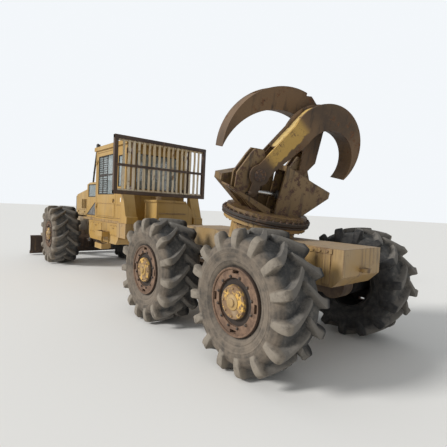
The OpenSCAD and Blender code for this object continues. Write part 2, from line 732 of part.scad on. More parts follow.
// An arm in the near half of the bunk: hook and stem, fork round the ears, lever with its pin
module arm(arm_row) {
    fork_reach = 520;
    difference() {
        union() {
            bunk_plate(arm_x[0], arm_x[1]) arm_side(arm_row);
            for (x = [arm_x[0], arm_x[1] - fork_t]) bunk_plate(x, x + fork_t) {
                translate(arm_hinge) circle(r = 170);
                translate(lever_pin) circle(r = 75);
                translate(arm_hinge) rotate(lever_angle) translate([0, -75]) square([lever_r, 150]);
            }
        }
        translate([arm_x[0] + fork_t, arm_hinge.x, arm_hinge.y])
            rotate([0, 90, 0]) cylinder(h = arm_w - 2*fork_t, r = fork_reach);
        translate([arm_x[0] - 1, arm_hinge.x, arm_hinge.y]) rotate([0, 90, 0]) cylinder(h = arm_w + 2, r = arm_pin_r + fit);
    }
    boss = (arm_w - arm_ram[4])/2 - fit;
    for (x = [arm_x[0] + 5, arm_x[1] - boss]) translate([x, lever_pin.x, lever_pin.y]) rotate([0, 90, 0]) cylinder(h = boss - 5, r = 48);
}

module arm_near() {
    color(rusty_steel) at_bunk() arm(near_arm);
}

module arm_far() {
    color(rusty_steel) at_bunk() rotate([0, 0, 180]) arm(far_arm);
}

module arm_barrel() {
    translate([arm_mid_x, ram_anchor.x, ram_anchor.y]) rotate([90, 0, 90]) rotate([0, 0, arm_ram_dir]) ram_barrel(arm_ram);
}

module arm_rod() {
    translate([arm_mid_x, lever_pin.x, lever_pin.y]) rotate([90, 0, 90]) rotate([0, 0, arm_ram_dir]) ram_rod(arm_ram);
}

// Wheels: axle position, tyre radius and width, in a table of axles from the front
front_wheel = [front_axle_x, front_tyre_r, front_tyre_w];
mid_wheel = [bogie_spacing, rear_tyre_r, rear_tyre_w];
rear_wheel = [0, rear_tyre_r, rear_tyre_w];

// A left wheel's frame: its centre on the axle, outer face towards +Y
module at_wheel(wheel) {
    translate([wheel[0], tyre_outer_y - wheel[2]/2, wheel[1]]) children();
}

module revolve_y() {
    rotate([-90, 0, 0]) rotate_extrude($fn = 96) children();
}

module tyre(wheel) {
    r = wheel[1];
    w = wheel[2];
    color(tyre_grey) at_wheel(wheel) revolve_y() polygon([
        [bead_r, -0.36*w], [0.60*r, -0.48*w], [0.70*r, -0.5*w], [0.84*r, -0.5*w], [r - 15, -0.46*w], [r, -0.3*w],
        [r, 0.3*w], [r - 15, 0.46*w], [0.84*r, 0.5*w], [0.70*r, 0.5*w], [0.60*r, 0.48*w], [bead_r, 0.36*w],
        [bead_r, 0.30*w], [bead_r + 60, 0.28*w], [bead_r + 60, -0.28*w], [bead_r, -0.30*w]
    ]);
}

// Rim: barrel, outer ring with four slots, hub drum, cap and the spindle's bore
module rim(wheel) {
    w = wheel[2];
    barrel_r = bead_r - fit;
    ring_y = w/2 - 100;
    cap_y = w/2 - 40;
    color(rim_brown) at_wheel(wheel) difference() {
        revolve_y() polygon([
            [0, -w/2 + 60], [215, -w/2 + 60], [215, ring_y - 60], [barrel_r - 25, ring_y - 60], [barrel_r - 25, -0.36*w],
            [barrel_r, -0.36*w], [barrel_r, ring_y + 30], [300, ring_y + 30], [300, ring_y], [225, ring_y], [205, cap_y], [0, cap_y]
        ]);
        rotate([-90, 0, 0]) translate([0, 0, -w/2]) cylinder(h = spindle_len(w) + 10, r = spindle_r + fit);
        for (turn = [0:90:270]) rotate([0, turn, 0]) translate([350, ring_y - 100, -55]) cube([45, 200, 110]);
    }
}

// Everything is moved so that the origin is under the middle of the machine
module placed() {
    translate([-mid_x, 0, 0]) children();
}

placed() front_chassis();
placed() front_axle();
placed() engine_block();
placed() hood();
placed() grille();
placed() cowl();
placed() cab_body();
placed() cab_roof();
placed() cab_interior();
placed() limb_risers();
placed() guard();
placed() guard_towers();
placed() rear_tank();
placed() side_boxes();
placed() door();  // door_left
placed() mirror([0, 1, 0]) door();  // door_right
placed() blade();
placed() blade_barrels();
placed() blade_rods();
placed() steer_barrel();  // steer_barrel_left
placed() steer_rod();  // steer_rod_left
placed() mirror([0, 1, 0]) steer_barrel();  // steer_barrel_right
placed() mirror([0, 1, 0]) steer_rod();  // steer_rod_right
placed() rear_frame();
placed() hinge_pins();
placed() bogie_axle();
placed() bogie_beams();
placed() turntable_ring();
placed() bunk();
placed() arm_near();
placed() arm_far();
placed() color(dark_steel) at_bunk() arm_barrel();  // arm_barrel_near
placed() color(bright_rod) at_bunk() arm_rod();  // arm_rod_near
placed() color(dark_steel) at_bunk() rotate([0, 0, 180]) arm_barrel();  // arm_barrel_far
placed() color(bright_rod) at_bunk() rotate([0, 0, 180]) arm_rod();  // arm_rod_far
placed() rim(front_wheel);  // rim_front_left
placed() mirror([0, 1, 0]) rim(front_wheel);  // rim_front_right
placed() rim(mid_wheel);  // rim_mid_left
placed() mirror([0, 1, 0]) rim(mid_wheel);  // rim_mid_right
placed() rim(rear_wheel);  // rim_rear_left
placed() mirror([0, 1, 0]) rim(rear_wheel);  // rim_rear_right
placed() tyre(front_wheel);  // tyre_front_left
placed() mirror([0, 1, 0]) tyre(front_wheel);  // tyre_front_right
placed() tyre(mid_wheel);  // tyre_mid_left
placed() mirror([0, 1, 0]) tyre(mid_wheel);  // tyre_mid_right
placed() tyre(rear_wheel);  // tyre_rear_left
placed() mirror([0, 1, 0]) tyre(rear_wheel);  // tyre_rear_right
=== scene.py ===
# Grapple skidder: finishes, tyres, rims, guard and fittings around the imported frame
import json
import math

import bmesh
import bpy
import numpy as np
from mathutils import Matrix, Vector


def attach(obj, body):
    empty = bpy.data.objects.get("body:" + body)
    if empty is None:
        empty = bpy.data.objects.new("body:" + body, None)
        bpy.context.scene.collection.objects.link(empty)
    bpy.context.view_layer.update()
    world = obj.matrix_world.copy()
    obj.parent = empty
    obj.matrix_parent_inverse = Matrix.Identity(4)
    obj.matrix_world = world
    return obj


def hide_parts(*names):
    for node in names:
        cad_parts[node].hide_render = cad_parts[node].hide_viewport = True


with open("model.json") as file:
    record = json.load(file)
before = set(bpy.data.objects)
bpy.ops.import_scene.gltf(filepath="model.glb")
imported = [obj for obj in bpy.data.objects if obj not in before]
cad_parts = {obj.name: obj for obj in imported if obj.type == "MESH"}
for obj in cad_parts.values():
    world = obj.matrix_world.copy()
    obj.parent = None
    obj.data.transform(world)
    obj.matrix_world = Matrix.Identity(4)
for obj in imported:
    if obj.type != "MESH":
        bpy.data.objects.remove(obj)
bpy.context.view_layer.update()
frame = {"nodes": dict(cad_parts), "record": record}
nodes = frame["nodes"]
print("frame loaded:", len(nodes), "nodes")

# the machine's main lines in metres, x ahead, y to its left, z up
middle = 5.240  # how far the rear axle lies behind the origin
hands = ((1, "left"), (-1, "right"))
axles = {
    "front": {"x": 9.3 - middle, "radius": 0.95, "width": 0.85},
    "mid": {"x": 2.4 - middle, "radius": 0.92, "width": 0.80},
    "rear": {"x": 0.0 - middle, "radius": 0.92, "width": 0.80},
}
cab = {"rear": 5.0 - middle, "front": 7.15 - middle, "side": 0.85, "deck": 1.6, "top": 3.55, "wall": 0.05}
doorway = {"rear": 5.65 - middle, "front": 7.05 - middle, "foot": 1.66, "top": 3.48}


class Wire:
    # a socket that adds Math nodes when it stands in a sum
    def __init__(self, owner, socket):
        self.owner, self.socket = owner, socket

    def maths(self, operation, *values, clamp=False):
        inputs = dict(enumerate((self,) + values))
        made = self.owner.node("ShaderNodeMath", {"operation": operation, "use_clamp": clamp}, inputs)
        return Wire(self.owner, made.outputs[0])

    def __add__(self, other):
        return self.maths("ADD", other)

    def __sub__(self, other):
        return self.maths("SUBTRACT", other)

    def __mul__(self, other):
        return self.maths("MULTIPLY", other)

    def __truediv__(self, other):
        return self.maths("DIVIDE", other)

    def __pow__(self, other):
        return self.maths("POWER", other)

    def __rsub__(self, other):
        return (self * -1.0) + other

    __radd__ = __add__
    __rmul__ = __mul__

    def clip(self):
        return self.maths("ADD", 0.0, clamp=True)

    def step(self, low, high):
        # smooth rise from 0 at low to 1 at high
        made = self.owner.node("ShaderNodeMapRange", {"interpolation_type": "SMOOTHSTEP"},
                               {"Value": self, "From Min": low, "From Max": high})
        return Wire(self.owner, made.outputs[0])


class Tree:
    # what materials, the sky and the Geometry Nodes networks share
    def __init__(self, tree):
        self.tree = tree
        tree.nodes.clear()

    def node(self, kind, settings=None, sockets=None):
        made = self.tree.nodes.new(kind)
        for key, value in (settings or {}).items():
            setattr(made, key, value)
        for key, value in (sockets or {}).items():
            self.feed(made.inputs[key], value)
        return made

    def feed(self, socket, value):
        value = value.socket if isinstance(value, Wire) else value
        if isinstance(value, bpy.types.NodeSocket):
            self.tree.links.new(value, socket)
        else:
            socket.default_value = value

    def axis(self, vector, index):
        return Wire(self, self.node("ShaderNodeSeparateXYZ", {}, {0: vector}).outputs[index])

    def vectors(self, operation, one, two):
        second = "Scale" if operation == "SCALE" else 1
        return self.node("ShaderNodeVectorMath", {"operation": operation}, {0: one, second: two}).outputs[0]


class Finish(Tree):
    def __init__(self, name, **fixed):
        self.material = bpy.data.materials.new(name)
        self.material.use_nodes = True
        super().__init__(self.material.node_tree)
        self.shader = self.node("ShaderNodeBsdfPrincipled", {}, fixed)
        self.node("ShaderNodeOutputMaterial", {}, {"Surface": self.shader.outputs[0]})
        where = self.node("ShaderNodeTexCoord")
        self.place, self.facing = where.outputs["Object"], where.outputs["Normal"]

    def noise(self, scale, detail, rough, shift=(0, 0, 0), stretch=(1, 1, 1)):
        where = self.place
        if any(shift) or stretch != (1, 1, 1):
            where = self.node("ShaderNodeMapping", {}, {"Vector": where, "Location": shift, "Scale": stretch})
            where = where.outputs[0]
        made = self.node("ShaderNodeTexNoise", {},
                         {"Vector": where, "Scale": scale, "Detail": detail, "Roughness": rough})
        return Wire(self, made.outputs[0])

    def colour(self, mask, below, above):
        below, above = (c + (1.0,) if isinstance(c, tuple) else c for c in (below, above))
        return self.node("ShaderNodeMix", {"data_type": "RGBA"}, {0: mask, 6: below, 7: above}).outputs[2]

    def rounded(self, radius):
        # the normal, eased over the edges
        return self.node("ShaderNodeBevel", {"samples": 4}, {"Radius": radius}).outputs[0]

    def edges(self, radius):
        # 0 on flat faces, towards 1 on outside and inside corners
        flat = self.node("ShaderNodeNewGeometry").outputs["Normal"]
        sockets = {0: self.rounded(radius), 1: flat}
        both = self.node("ShaderNodeVectorMath", {"operation": "DOT_PRODUCT"}, sockets)
        return 1.0 - Wire(self, both.outputs["Value"])

    def bump(self, height, distance, strength, normal=None):
        sockets = {"Height": height, "Distance": distance, "Strength": strength}
        if normal is not None:
            sockets["Normal"] = normal
        return self.node("ShaderNodeBump", {}, sockets).outputs[0]

    def set(self, **inputs):
        for key, value in inputs.items():
            self.feed(self.shader.inputs[key.replace("_", " ")], value)
        return self.material


def bandMask(f, band, patch, runs):
    # a strip along a line from a point, with ragged edges
    offsets = [f.axis(f.place, i) - band["start"][i] for i in range(3)]
    run = offsets[0] * band["along"][0] + offsets[1] * band["along"][1] + offsets[2] * band["along"][2]
    apart = offsets[0] ** 2.0 + offsets[1] ** 2.0 + offsets[2] ** 2.0 - run ** 2.0
    ragged = apart.maths("ABSOLUTE").maths("SQRT") + patch * 0.16 + runs * 0.10 - 0.13
    beside = 1.0 - ragged.step(band["reach"] * 0.8, band["reach"])
    return beside * run.step(-0.05, 0.12) * (1.0 - run.step(band["length"] - 0.15, band["length"]))


def weathered(name, look):
    f = Finish(name, Metallic=look["metal"])
    broad = f.noise(0.8, 3.0, 0.5)
    patch = f.noise(look["patchSize"], 6.0, 0.66, shift=(3.1, 0.4, 0.0))
    grain = f.noise(48.0, 4.0, 0.65)
    runs = f.noise(9.0, 4.0, 0.6, shift=(0.0, 1.7, 0.0), stretch=(1.0, 1.0, 0.09))
    up = f.axis(f.facing, 2)
    low = 1.0 - f.axis(f.place, 2).step(0.5, 2.3)
    corner = f.edges(0.012).step(0.015, 0.22)
    paint = f.colour(broad.step(0.38, 0.62), look["paint"], look["faded"])
    paint = f.colour(patch.step(0.42, 0.68) * 0.35, paint, look["faded"])
    paint = f.colour(runs.step(0.52, 0.72) * look["runs"], paint, look["grime"])
    wear = patch * 0.62 + grain * 0.26 + corner * look["cornerWear"]
    chips = wear.step(look["chipFrom"], look["chipFrom"] + 0.035)
    rust = f.colour(grain.step(0.38, 0.62), look["rust"], look["rustPale"])
    skin = f.colour(chips, paint, rust)
    settle = up.clip() * look["dustUp"] + low * look["dustLow"] + broad * 0.4 + patch * 0.45 + grain * 0.15
    dust = settle.step(look["dustFrom"], look["dustFrom"] + 0.32) * look["dustMost"]
    skin = f.colour(dust, skin, look["dust"])
    if "band" in look:
        left = (1.0 - chips * 0.7) * (1.0 - (patch * 0.6 + grain * 0.4).step(0.52, 0.58) * 0.85)
        skin = f.colour(bandMask(f, look["band"], patch, runs) * left, skin, look["band"]["paint"])
    f.set(Base_Color=skin, Roughness=(chips * 0.22 + dust * 0.25 + grain * 0.12 + look["rough"]).clip())
    relief = grain * 0.3 + patch * 0.35 - chips * 0.3
    return f.set(Normal=f.bump(relief, look["relief"], 0.7, f.rounded(0.006)))


yellow = {"paint": (0.385, 0.221, 0.045), "faded": (0.45, 0.287, 0.098), "grime": (0.20, 0.12, 0.05),
          "rust": (0.11, 0.055, 0.028), "rustPale": (0.23, 0.12, 0.055), "dust": (0.345, 0.24, 0.13),
          "runs": 0.55, "cornerWear": 0.30, "chipFrom": 0.60, "patchSize": 5.5, "dustUp": 0.28,
          "dustLow": 0.35, "dustFrom": 0.72, "dustMost": 0.75, "rough": 0.42, "metal": 0.0, "relief": 0.004}
# the other finishes, by what they change in the yellow
looks = {
    "yellow_paint": {},
    "dusty_paint": dict(
        paint=(0.36, 0.22, 0.075), faded=(0.37, 0.26, 0.135), grime=(0.085, 0.053, 0.03), runs=0.95,
        dust=(0.32, 0.235, 0.155), dustFrom=0.62, dustMost=0.7, chipFrom=0.51),
    "rusty_steel": dict(
        paint=(0.10, 0.07, 0.05), faded=(0.15, 0.10, 0.07), grime=(0.05, 0.035, 0.03), runs=0.5,
        chipFrom=0.55, rust=(0.12, 0.055, 0.03), rustPale=(0.20, 0.10, 0.05), dust=(0.30, 0.22, 0.15),
        dustFrom=0.70, rough=0.6),
    "engine_paint": dict(paint=(0.20, 0.16, 0.07), faded=(0.14, 0.11, 0.06), dustFrom=0.6),
    "dark_steel": dict(
        paint=(0.030, 0.027, 0.025), faded=(0.055, 0.048, 0.042), grime=(0.02, 0.018, 0.016),
        rust=(0.10, 0.05, 0.03), rustPale=(0.16, 0.09, 0.05), dust=(0.28, 0.21, 0.14), dustFrom=0.85,
        rough=0.5),
    "guard_steel": dict(
        paint=(0.055, 0.036, 0.03), faded=(0.10, 0.065, 0.045), grime=(0.03, 0.02, 0.018),
        chipFrom=0.52, cornerWear=0.2, rust=(0.13, 0.065, 0.035), rustPale=(0.24, 0.13, 0.06),
        dust=(0.30, 0.21, 0.13), dustFrom=0.88, rough=0.6),
    "slat_steel": dict(
        paint=(0.62, 0.47, 0.27), faded=(0.72, 0.62, 0.45), chipFrom=0.50, cornerWear=0.25, runs=0.7,
        rust=(0.17, 0.09, 0.045), rustPale=(0.30, 0.18, 0.09), dustFrom=0.8),
    "seat_vinyl": dict(
        paint=(0.035, 0.034, 0.033), faded=(0.06, 0.057, 0.054), runs=0.0, chipFrom=0.95,
        dustFrom=0.9, rough=0.55),
    "hub_cap": dict(
        paint=(0.40, 0.24, 0.055), faded=(0.42, 0.30, 0.16), grime=(0.18, 0.11, 0.06), runs=0.6,
        chipFrom=0.50, patchSize=11.0, rust=(0.14, 0.08, 0.045), rustPale=(0.28, 0.17, 0.09), dustFrom=0.9),
    "pin_steel": dict(paint=(0.14, 0.12, 0.10), faded=(0.24, 0.21, 0.18), metal=0.6, rough=0.4),
    "blade_steel": dict(
        paint=(0.045, 0.028, 0.019), faded=(0.085, 0.050, 0.032), chipFrom=0.52,
        rust=(0.075, 0.036, 0.02), rustPale=(0.18, 0.095, 0.05), dust=(0.30, 0.21, 0.13), dustFrom=0.80,
        rough=0.6),
    "rod_chrome": dict(
        paint=(0.55, 0.55, 0.54), faded=(0.62, 0.62, 0.60), metal=0.95, rough=0.18, chipFrom=0.8,
        runs=0.1, dustFrom=1.1),
    "ring_steel": dict(
        paint=(0.034, 0.027, 0.021), faded=(0.065, 0.048, 0.035), chipFrom=0.52,
        rust=(0.13, 0.065, 0.035), rustPale=(0.20, 0.11, 0.06), dust=(0.30, 0.23, 0.16), dustFrom=0.84,
        rough=0.6),
    "bunk_steel": dict(
        paint=(0.165, 0.100, 0.038), faded=(0.22, 0.14, 0.06), grime=(0.040, 0.026, 0.018), runs=0.95,
        chipFrom=0.46, patchSize=9.0, cornerWear=0.25, rust=(0.060, 0.031, 0.020),
        rustPale=(0.12, 0.062, 0.035), dust=(0.24, 0.18, 0.12), dustFrom=0.90),
    "arm_steel": dict(
        paint=(0.068, 0.040, 0.021), faded=(0.16, 0.092, 0.042), grime=(0.026, 0.018, 0.013), runs=0.7,
        chipFrom=0.50, rust=(0.042, 0.024, 0.015), rustPale=(0.17, 0.075, 0.032), dust=(0.30, 0.21, 0.135),
        dustFrom=0.98, patchSize=4.5, rough=0.55, relief=0.012),
    "worn_paint": dict(
        paint=(0.58, 0.36, 0.08), faded=(0.62, 0.44, 0.17), grime=(0.10, 0.06, 0.03), runs=0.9,
        chipFrom=0.49, patchSize=7.0, rust=(0.07, 0.038, 0.02), rustPale=(0.17, 0.09, 0.045), dustFrom=0.95),
    "paper_white": dict(
        paint=(0.74, 0.72, 0.68), faded=(0.80, 0.78, 0.74), grime=(0.5, 0.46, 0.40), runs=0.3,
        chipFrom=0.9, dustFrom=0.95, rough=0.6),
}
# the near arm's stem keeps a strip of its yellow
looks["near_arm_steel"] = dict(looks["arm_steel"], band={
    "start": (-4.627, 0.460, 2.812), "along": (-0.3587, -0.5568, 0.7492), "length": 0.888, "reach": 0.15,
    "paint": (0.50, 0.31, 0.075)})
finishes = {name: weathered(name, dict(yellow, **look)) for name, look in looks.items()}
print("steel finishes made:", len(finishes))


def tyreFinish():
    # wheelPlace is x and z across the wheel and y towards its outer face; lug is 1 on a lug's top
    f = Finish("dusty rubber", **{"Specular IOR Level": 0.3})
    spot = f.node("ShaderNodeAttribute", {"attribute_name": "wheelPlace"}).outputs["Vector"]
    lug = Wire(f, f.node("ShaderNodeAttribute", {"attribute_name": "lug"}).outputs["Fac"])
    out = f.axis(spot, 1)
    side = out.maths("ABSOLUTE").step(0.27, 0.34)
    outer = out.step(-0.1, 0.1)
    radius = (f.axis(spot, 0) ** 2.0 + f.axis(spot, 2) ** 2.0).maths("SQRT")
    clouds = f.noise(2.4, 5.0, 0.6)
    smear = f.noise(9.0, 6.0, 0.7, shift=(0.3, 2.0, 0.0))
    grit = f.noise(70.0, 4.0, 0.7)
    rubber = f.colour(clouds.step(0.35, 0.65), (0.042, 0.042, 0.042), (0.075, 0.072, 0.067))
    tread = f.colour((smear + lug * 0.22).step(0.42, 0.75) * 0.75, rubber, (0.19, 0.17, 0.145))
    dusted = (smear * 0.7 + clouds * 0.5).step(0.42, 0.72)
    wall = f.colour(dusted, (0.075, 0.064, 0.053), (0.180, 0.145, 0.110))
    wall = f.colour((radius * 96.0).maths("SINE").step(0.2, 0.9) * 0.22, wall, (0.23, 0.185, 0.14))
    # the inner sidewall, towards the machine, is painted near-black: painted shade
    shadedInner = f.colour(smear.step(0.35, 0.7), (0.022, 0.022, 0.023), (0.06, 0.056, 0.052))
    skin = f.colour(side, tread, f.colour(outer, shadedInner, wall))
    skin = f.colour((side * outer * lug * smear.step(0.25, 0.55)) * 0.8, skin, (0.26, 0.225, 0.18))
    skin = f.colour(grit.step(0.60, 0.72) * 0.3 * outer, skin, (0.30, 0.24, 0.17))
    hoops = (radius * 210.0).maths("SINE") * side * (1.0 - lug) * 0.08
    f.set(Base_Color=skin, Roughness=(side * 0.12 + smear * 0.2 + 0.62).clip())
    return f.set(Normal=f.bump(grit * 0.25 + smear * 0.55 + hoops, 0.008, 0.8))


def rimFinish(name, axleX, axleZ):
    # yellow hub cap, a near-black ring of painted shade in the gap round it, a rust-brown disc and a dark rim
    # edge; painted shade over the inner side
    f = Finish(name)
    across, above = f.axis(f.place, 0) - axleX, f.axis(f.place, 2) - axleZ
    radius = (across ** 2.0 + above ** 2.0).maths("SQRT")
    patch = f.noise(9.0, 6.0, 0.7)
    grain = f.noise(60.0, 4.0, 0.65)
    broad = f.noise(2.5, 3.0, 0.5, shift=(0.0, 3.0, 1.0))
    outer = f.axis(f.place, 1).maths("ABSOLUTE").step(1.50, 1.53)
    brown = f.colour(patch.step(0.38, 0.66), (0.120, 0.072, 0.046), (0.22, 0.135, 0.085))
    brown = f.colour(grain.step(0.52, 0.70) * 0.5, brown, (0.10, 0.06, 0.04))
    cap = f.colour((patch * 0.8 + grain * 0.3).step(0.47, 0.55), (0.62, 0.37, 0.08), (0.20, 0.12, 0.06))
    cap = f.colour(broad.step(0.52, 0.64) * patch.step(0.3, 0.6) * 0.6, cap, (0.52, 0.40, 0.25))
    hub = 1.0 - radius.step(0.212, 0.220)
    # the gap round the cap is painted near-black: painted shade for the cavity there
    gap = radius.step(0.208, 0.222) * (1.0 - radius.step(0.292, 0.302))
    skin = f.colour(hub, brown, cap)
    skin = f.colour(gap * 0.9, skin, (0.022, 0.018, 0.015))
    skin = f.colour(radius.step(0.424, 0.434) * 0.8, skin, (0.05, 0.035, 0.028))
    # the inner side, towards the machine, is painted near-black: painted shade
    shadedInner = f.colour(patch.step(0.4, 0.65), (0.016, 0.015, 0.015), (0.045, 0.036, 0.03))
    skin = f.colour(outer, shadedInner, skin)
    f.set(Base_Color=skin, Roughness=(0.85 - hub * outer * 0.3 + grain * 0.1).clip())
    return f.set(Normal=f.bump(grain * 0.4 + patch * 0.3, 0.004, 0.7, f.rounded(0.006)))


def glassFinish():
    f = Finish("dusty glass", IOR=1.45)
    haze = f.noise(3.0, 4.0, 0.6)
    dust = f.noise(40.0, 3.0, 0.6)
    tint = f.colour(haze.step(0.30, 0.75), (0.36, 0.41, 0.41), (0.46, 0.51, 0.50))
    cover = (haze * 0.14 + dust * 0.08 + 0.34).clip()
    f.set(Base_Color=tint, Roughness=(dust * 0.2 + 0.04).clip(), Alpha=cover)
    return f.set(Normal=f.bump(haze, 0.0006, 0.1))


def piercedFinish():
    # grey sheet with rows of small holes, painted near-black as the shade behind them
    f = Finish("pierced grey sheet", Metallic=0.2)
    patch = f.noise(6.0, 5.0, 0.65)
    grain = f.noise(60.0, 4.0, 0.6)
    across, above = ((f.axis(f.place, i) * 210.0).maths("SINE") for i in (0, 2))
    hole = (across * above).maths("ABSOLUTE").step(0.42, 0.55)
    sheet = f.colour(patch.step(0.4, 0.65), (0.17, 0.165, 0.155), (0.30, 0.28, 0.25))
    # the holes are painted near-black: painted shade
    f.set(Base_Color=f.colour(hole, sheet, (0.02, 0.02, 0.02)), Roughness=(grain * 0.2 + 0.5).clip())
    return f.set(Normal=f.bump(grain * 0.3 - hole, 0.003, 0.7))


def rubberFinish():
    f = Finish("black seal rubber", **{"Specular IOR Level": 0.25})
    grain = f.noise(70.0, 3.0, 0.6)
    skin = f.colour(grain.step(0.4, 0.7), (0.016, 0.015, 0.014), (0.05, 0.045, 0.04))
    f.set(Base_Color=skin, Roughness=(grain * 0.2 + 0.6).clip())
    return f.set(Normal=f.bump(grain, 0.001, 0.5))


finishes.update(tyre_rubber=tyreFinish(), glass=glassFinish(), seal=rubberFinish())
finishes["pierced_steel"] = piercedFinish()
for axle, size in axles.items():
    finishes["rim_" + axle] = rimFinish("rim paint " + axle, size["x"], size["radius"])
slotOf = {part["node"]: part["material_slot"] for part in frame["record"]["subparts"]}
for name, part in nodes.items():
    slot = slotOf[name]
    if slot == "rim_paint":
        slot = "rim_" + name.split("_")[1]
    for place in part.material_slots:
        place.material = finishes[slot]
print("finishes on the CAD nodes")


def meshOf(shape):
    # a plain mesh, its doubles merged and its faces turned outwards; one that is plain already stays as it is
    if isinstance(shape, bpy.types.Mesh):
        return shape
    bmesh.ops.remove_doubles(shape, verts=shape.verts, dist=1e-5)
    bmesh.ops.recalc_face_normals(shape, faces=shape.faces)
    mesh = bpy.data.meshes.new("shape")
    shape.to_mesh(mesh)
    shape.free()
    return mesh


def joined(*shapes):
    whole = bmesh.new()
    for shape in shapes:
        whole.from_mesh(meshOf(shape))
    mesh = bpy.data.meshes.new("joined")
    whole.to_mesh(mesh)
    whole.free()
    return mesh


def turned(shape, matrix):
    mesh = meshOf(shape)
    mesh.transform(matrix)
    return mesh


def placed(name, data):
    # an object in the scene
    made = bpy.data.objects.new(name, data)
    bpy.context.scene.collection.objects.link(made)
    return made


def painted(mesh, finish, sharp=35.0):
    # one finish over the whole mesh, its edges sharp from an angle in degrees
    mesh.materials.clear()
    mesh.materials.append(finishes[finish])
    mesh.polygons.foreach_set("material_index", [0] * len(mesh.polygons))
    mesh.set_sharp_from_angle(angle=math.radians(sharp))


def finished(name, shape, finish, body, sharp=35.0):
    # one piece at the origin, riding on its body
    mesh = meshOf(shape)
    mesh.name = name
    mesh.shade_smooth()
    painted(mesh, finish, sharp)
    piece = placed(name, mesh)
    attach(piece, body)
    return piece


def settled(piece):
    # takes a piece's modifiers into its mesh
    bpy.context.view_layer.update()
    piece.data = bpy.data.meshes.new_from_object(piece.evaluated_get(bpy.context.evaluated_depsgraph_get()))
    piece.modifiers.clear()


def addBlock(shape, low, high, bevel=0.0):
    made = bmesh.ops.create_cube(shape, size=1.0)
    for vert in made["verts"]:
        vert.co = Vector((low[i] + (vert.co[i] + 0.5) * (high[i] - low[i]) for i in range(3)))
    if bevel:
        edges = list({edge for vert in made["verts"] for edge in vert.link_edges})
        bmesh.ops.bevel(shape, geom=edges, offset=bevel, segments=2, affect="EDGES", clamp_overlap=True)


def addSkin(shape, loops, closed=False):
    # quads between loops that follow each other, and a face over each end unless they close on themselves
    count = len(loops[0])
    for one, two in zip(loops, loops[1:] + loops[:1] if closed else loops[1:]):
        for k in range(count):
            shape.faces.new((one[k], one[(k + 1) % count], two[(k + 1) % count], two[k]))
    if not closed:
        shape.faces.new(loops[0][::-1])
        shape.faces.new(loops[-1])


def addTube(shape, points, radius, sides=12, closed=False):
    points = [Vector(p) for p in points]
    count = len(points)
    turns = [math.tau * k / sides for k in range(sides)]
    loops = []
    across = None
    for i, point in enumerate(points):
        before = points[i - 1] if i or closed else point
        after = points[(i + 1) % count] if i < count - 1 or closed else point
        along = (after - before).normalized()
        across = across or along.orthogonal()
        across = (across - along * across.dot(along)).normalized()
        other = along.cross(across)
        spokes = [math.cos(a) * across + math.sin(a) * other for a in turns]
        loops.append([shape.verts.new(point + radius * spoke) for spoke in spokes])
    addSkin(shape, loops, closed)


def addRevolved(shape, outline, sides, closed=False):
    # an outline of (radius, height) turned round the Z axis
    turns = [math.tau * k / sides for k in range(sides)]
    loops = []
    for radius, height in outline:
        if radius < 1e-6:
            loops.append([shape.verts.new((0, 0, height))] * sides)
        else:
            spots = [(radius * math.cos(a), radius * math.sin(a), height) for a in turns]
            loops.append([shape.verts.new(spot) for spot in spots])
    for one, two in zip(loops, loops[1:] + loops[:1] if closed else loops[1:]):
        for k in range(sides):
            # a pole gives the same corner twice
            corners = list(dict.fromkeys((one[k], one[(k + 1) % sides], two[(k + 1) % sides], two[k])))
            if len(corners) > 2:
                shape.faces.new(corners)


class Network(Tree):
    # a Geometry Nodes tree with named inputs, each given as its kind and first value
    def __init__(self, name, inputs):
        super().__init__(bpy.data.node_groups.new(name, "GeometryNodeTree"))
        sockets = self.tree.interface
        for way in ("INPUT", "OUTPUT"):
            sockets.new_socket("Geometry", in_out=way, socket_type="NodeSocketGeometry")
        self.keys = {}
        for label, (kind, value) in inputs.items():
            socket = sockets.new_socket(label, in_out="INPUT", socket_type="NodeSocket" + kind)
            if value is not None:
                socket.default_value = value
            self.keys[label] = socket.identifier
        self.source = self.node("NodeGroupInput").outputs
        self.order = Wire(self, self.node("GeometryNodeInputIndex").outputs[0])

    def wires(self, *labels):
        return [Wire(self, self.source[label]) for label in labels]

    def jitter(self, label):
        # a random number for each copy, up to the input's value either way
        reach, seed = self.wires(label, "Seed")
        made = self.node("FunctionNodeRandomValue", {"data_type": "FLOAT"},
                         {2: reach * -1.0, 3: reach, "ID": self.order, "Seed": seed})
        return Wire(self, made.outputs[1])

    def copies(self, place, turn):
        # the source on a numbered set of points, each at its place and turned about Z
        points = self.node("GeometryNodePoints", {}, {"Count": self.source["Count"]}).outputs[0]
        points = self.node("GeometryNodeSetPosition", {}, {"Geometry": points, "Position": place}).outputs[0]
        facing = self.node("ShaderNodeCombineXYZ", {}, {2: turn}).outputs[0]
        facing = self.node("FunctionNodeEulerToRotation", {}, {0: facing}).outputs[0]
        return self.node("GeometryNodeInstanceOnPoints", {}, {
            "Points": points, "Instance": self.source["Geometry"], "Rotation": facing}).outputs[0]

    def finish(self, geometry):
        real = self.node("GeometryNodeRealizeInstances", {}, {0: geometry}).outputs[0]
        sockets = {"Geometry": real, "Material": self.source["Material"]}
        coloured = self.node("GeometryNodeSetMaterial", {}, sockets)
        self.node("NodeGroupOutput", {}, {0: coloured.outputs[0]})
        return self


def ringNetwork():
    # copies round the Z axis, each with a small random turn
    net = Network("copies round an axis", {
        "Count": ("Int", 12), "Radius": ("Float", 0.0), "Start": ("Float", 0.0), "Loose": ("Float", 0.0),
        "Seed": ("Int", 1), "Material": ("Material", None)})
    count, start = net.wires("Count", "Start")
    turn = net.order / count * math.tau + start + net.jitter("Loose")
    out = net.node("ShaderNodeCombineXYZ", {}, {0: net.source["Radius"]}).outputs[0]
    place = net.node("ShaderNodeVectorRotate", {"rotation_type": "Z_AXIS"}, {"Vector": out, "Angle": turn})
    return net.finish(net.copies(place.outputs[0], turn))


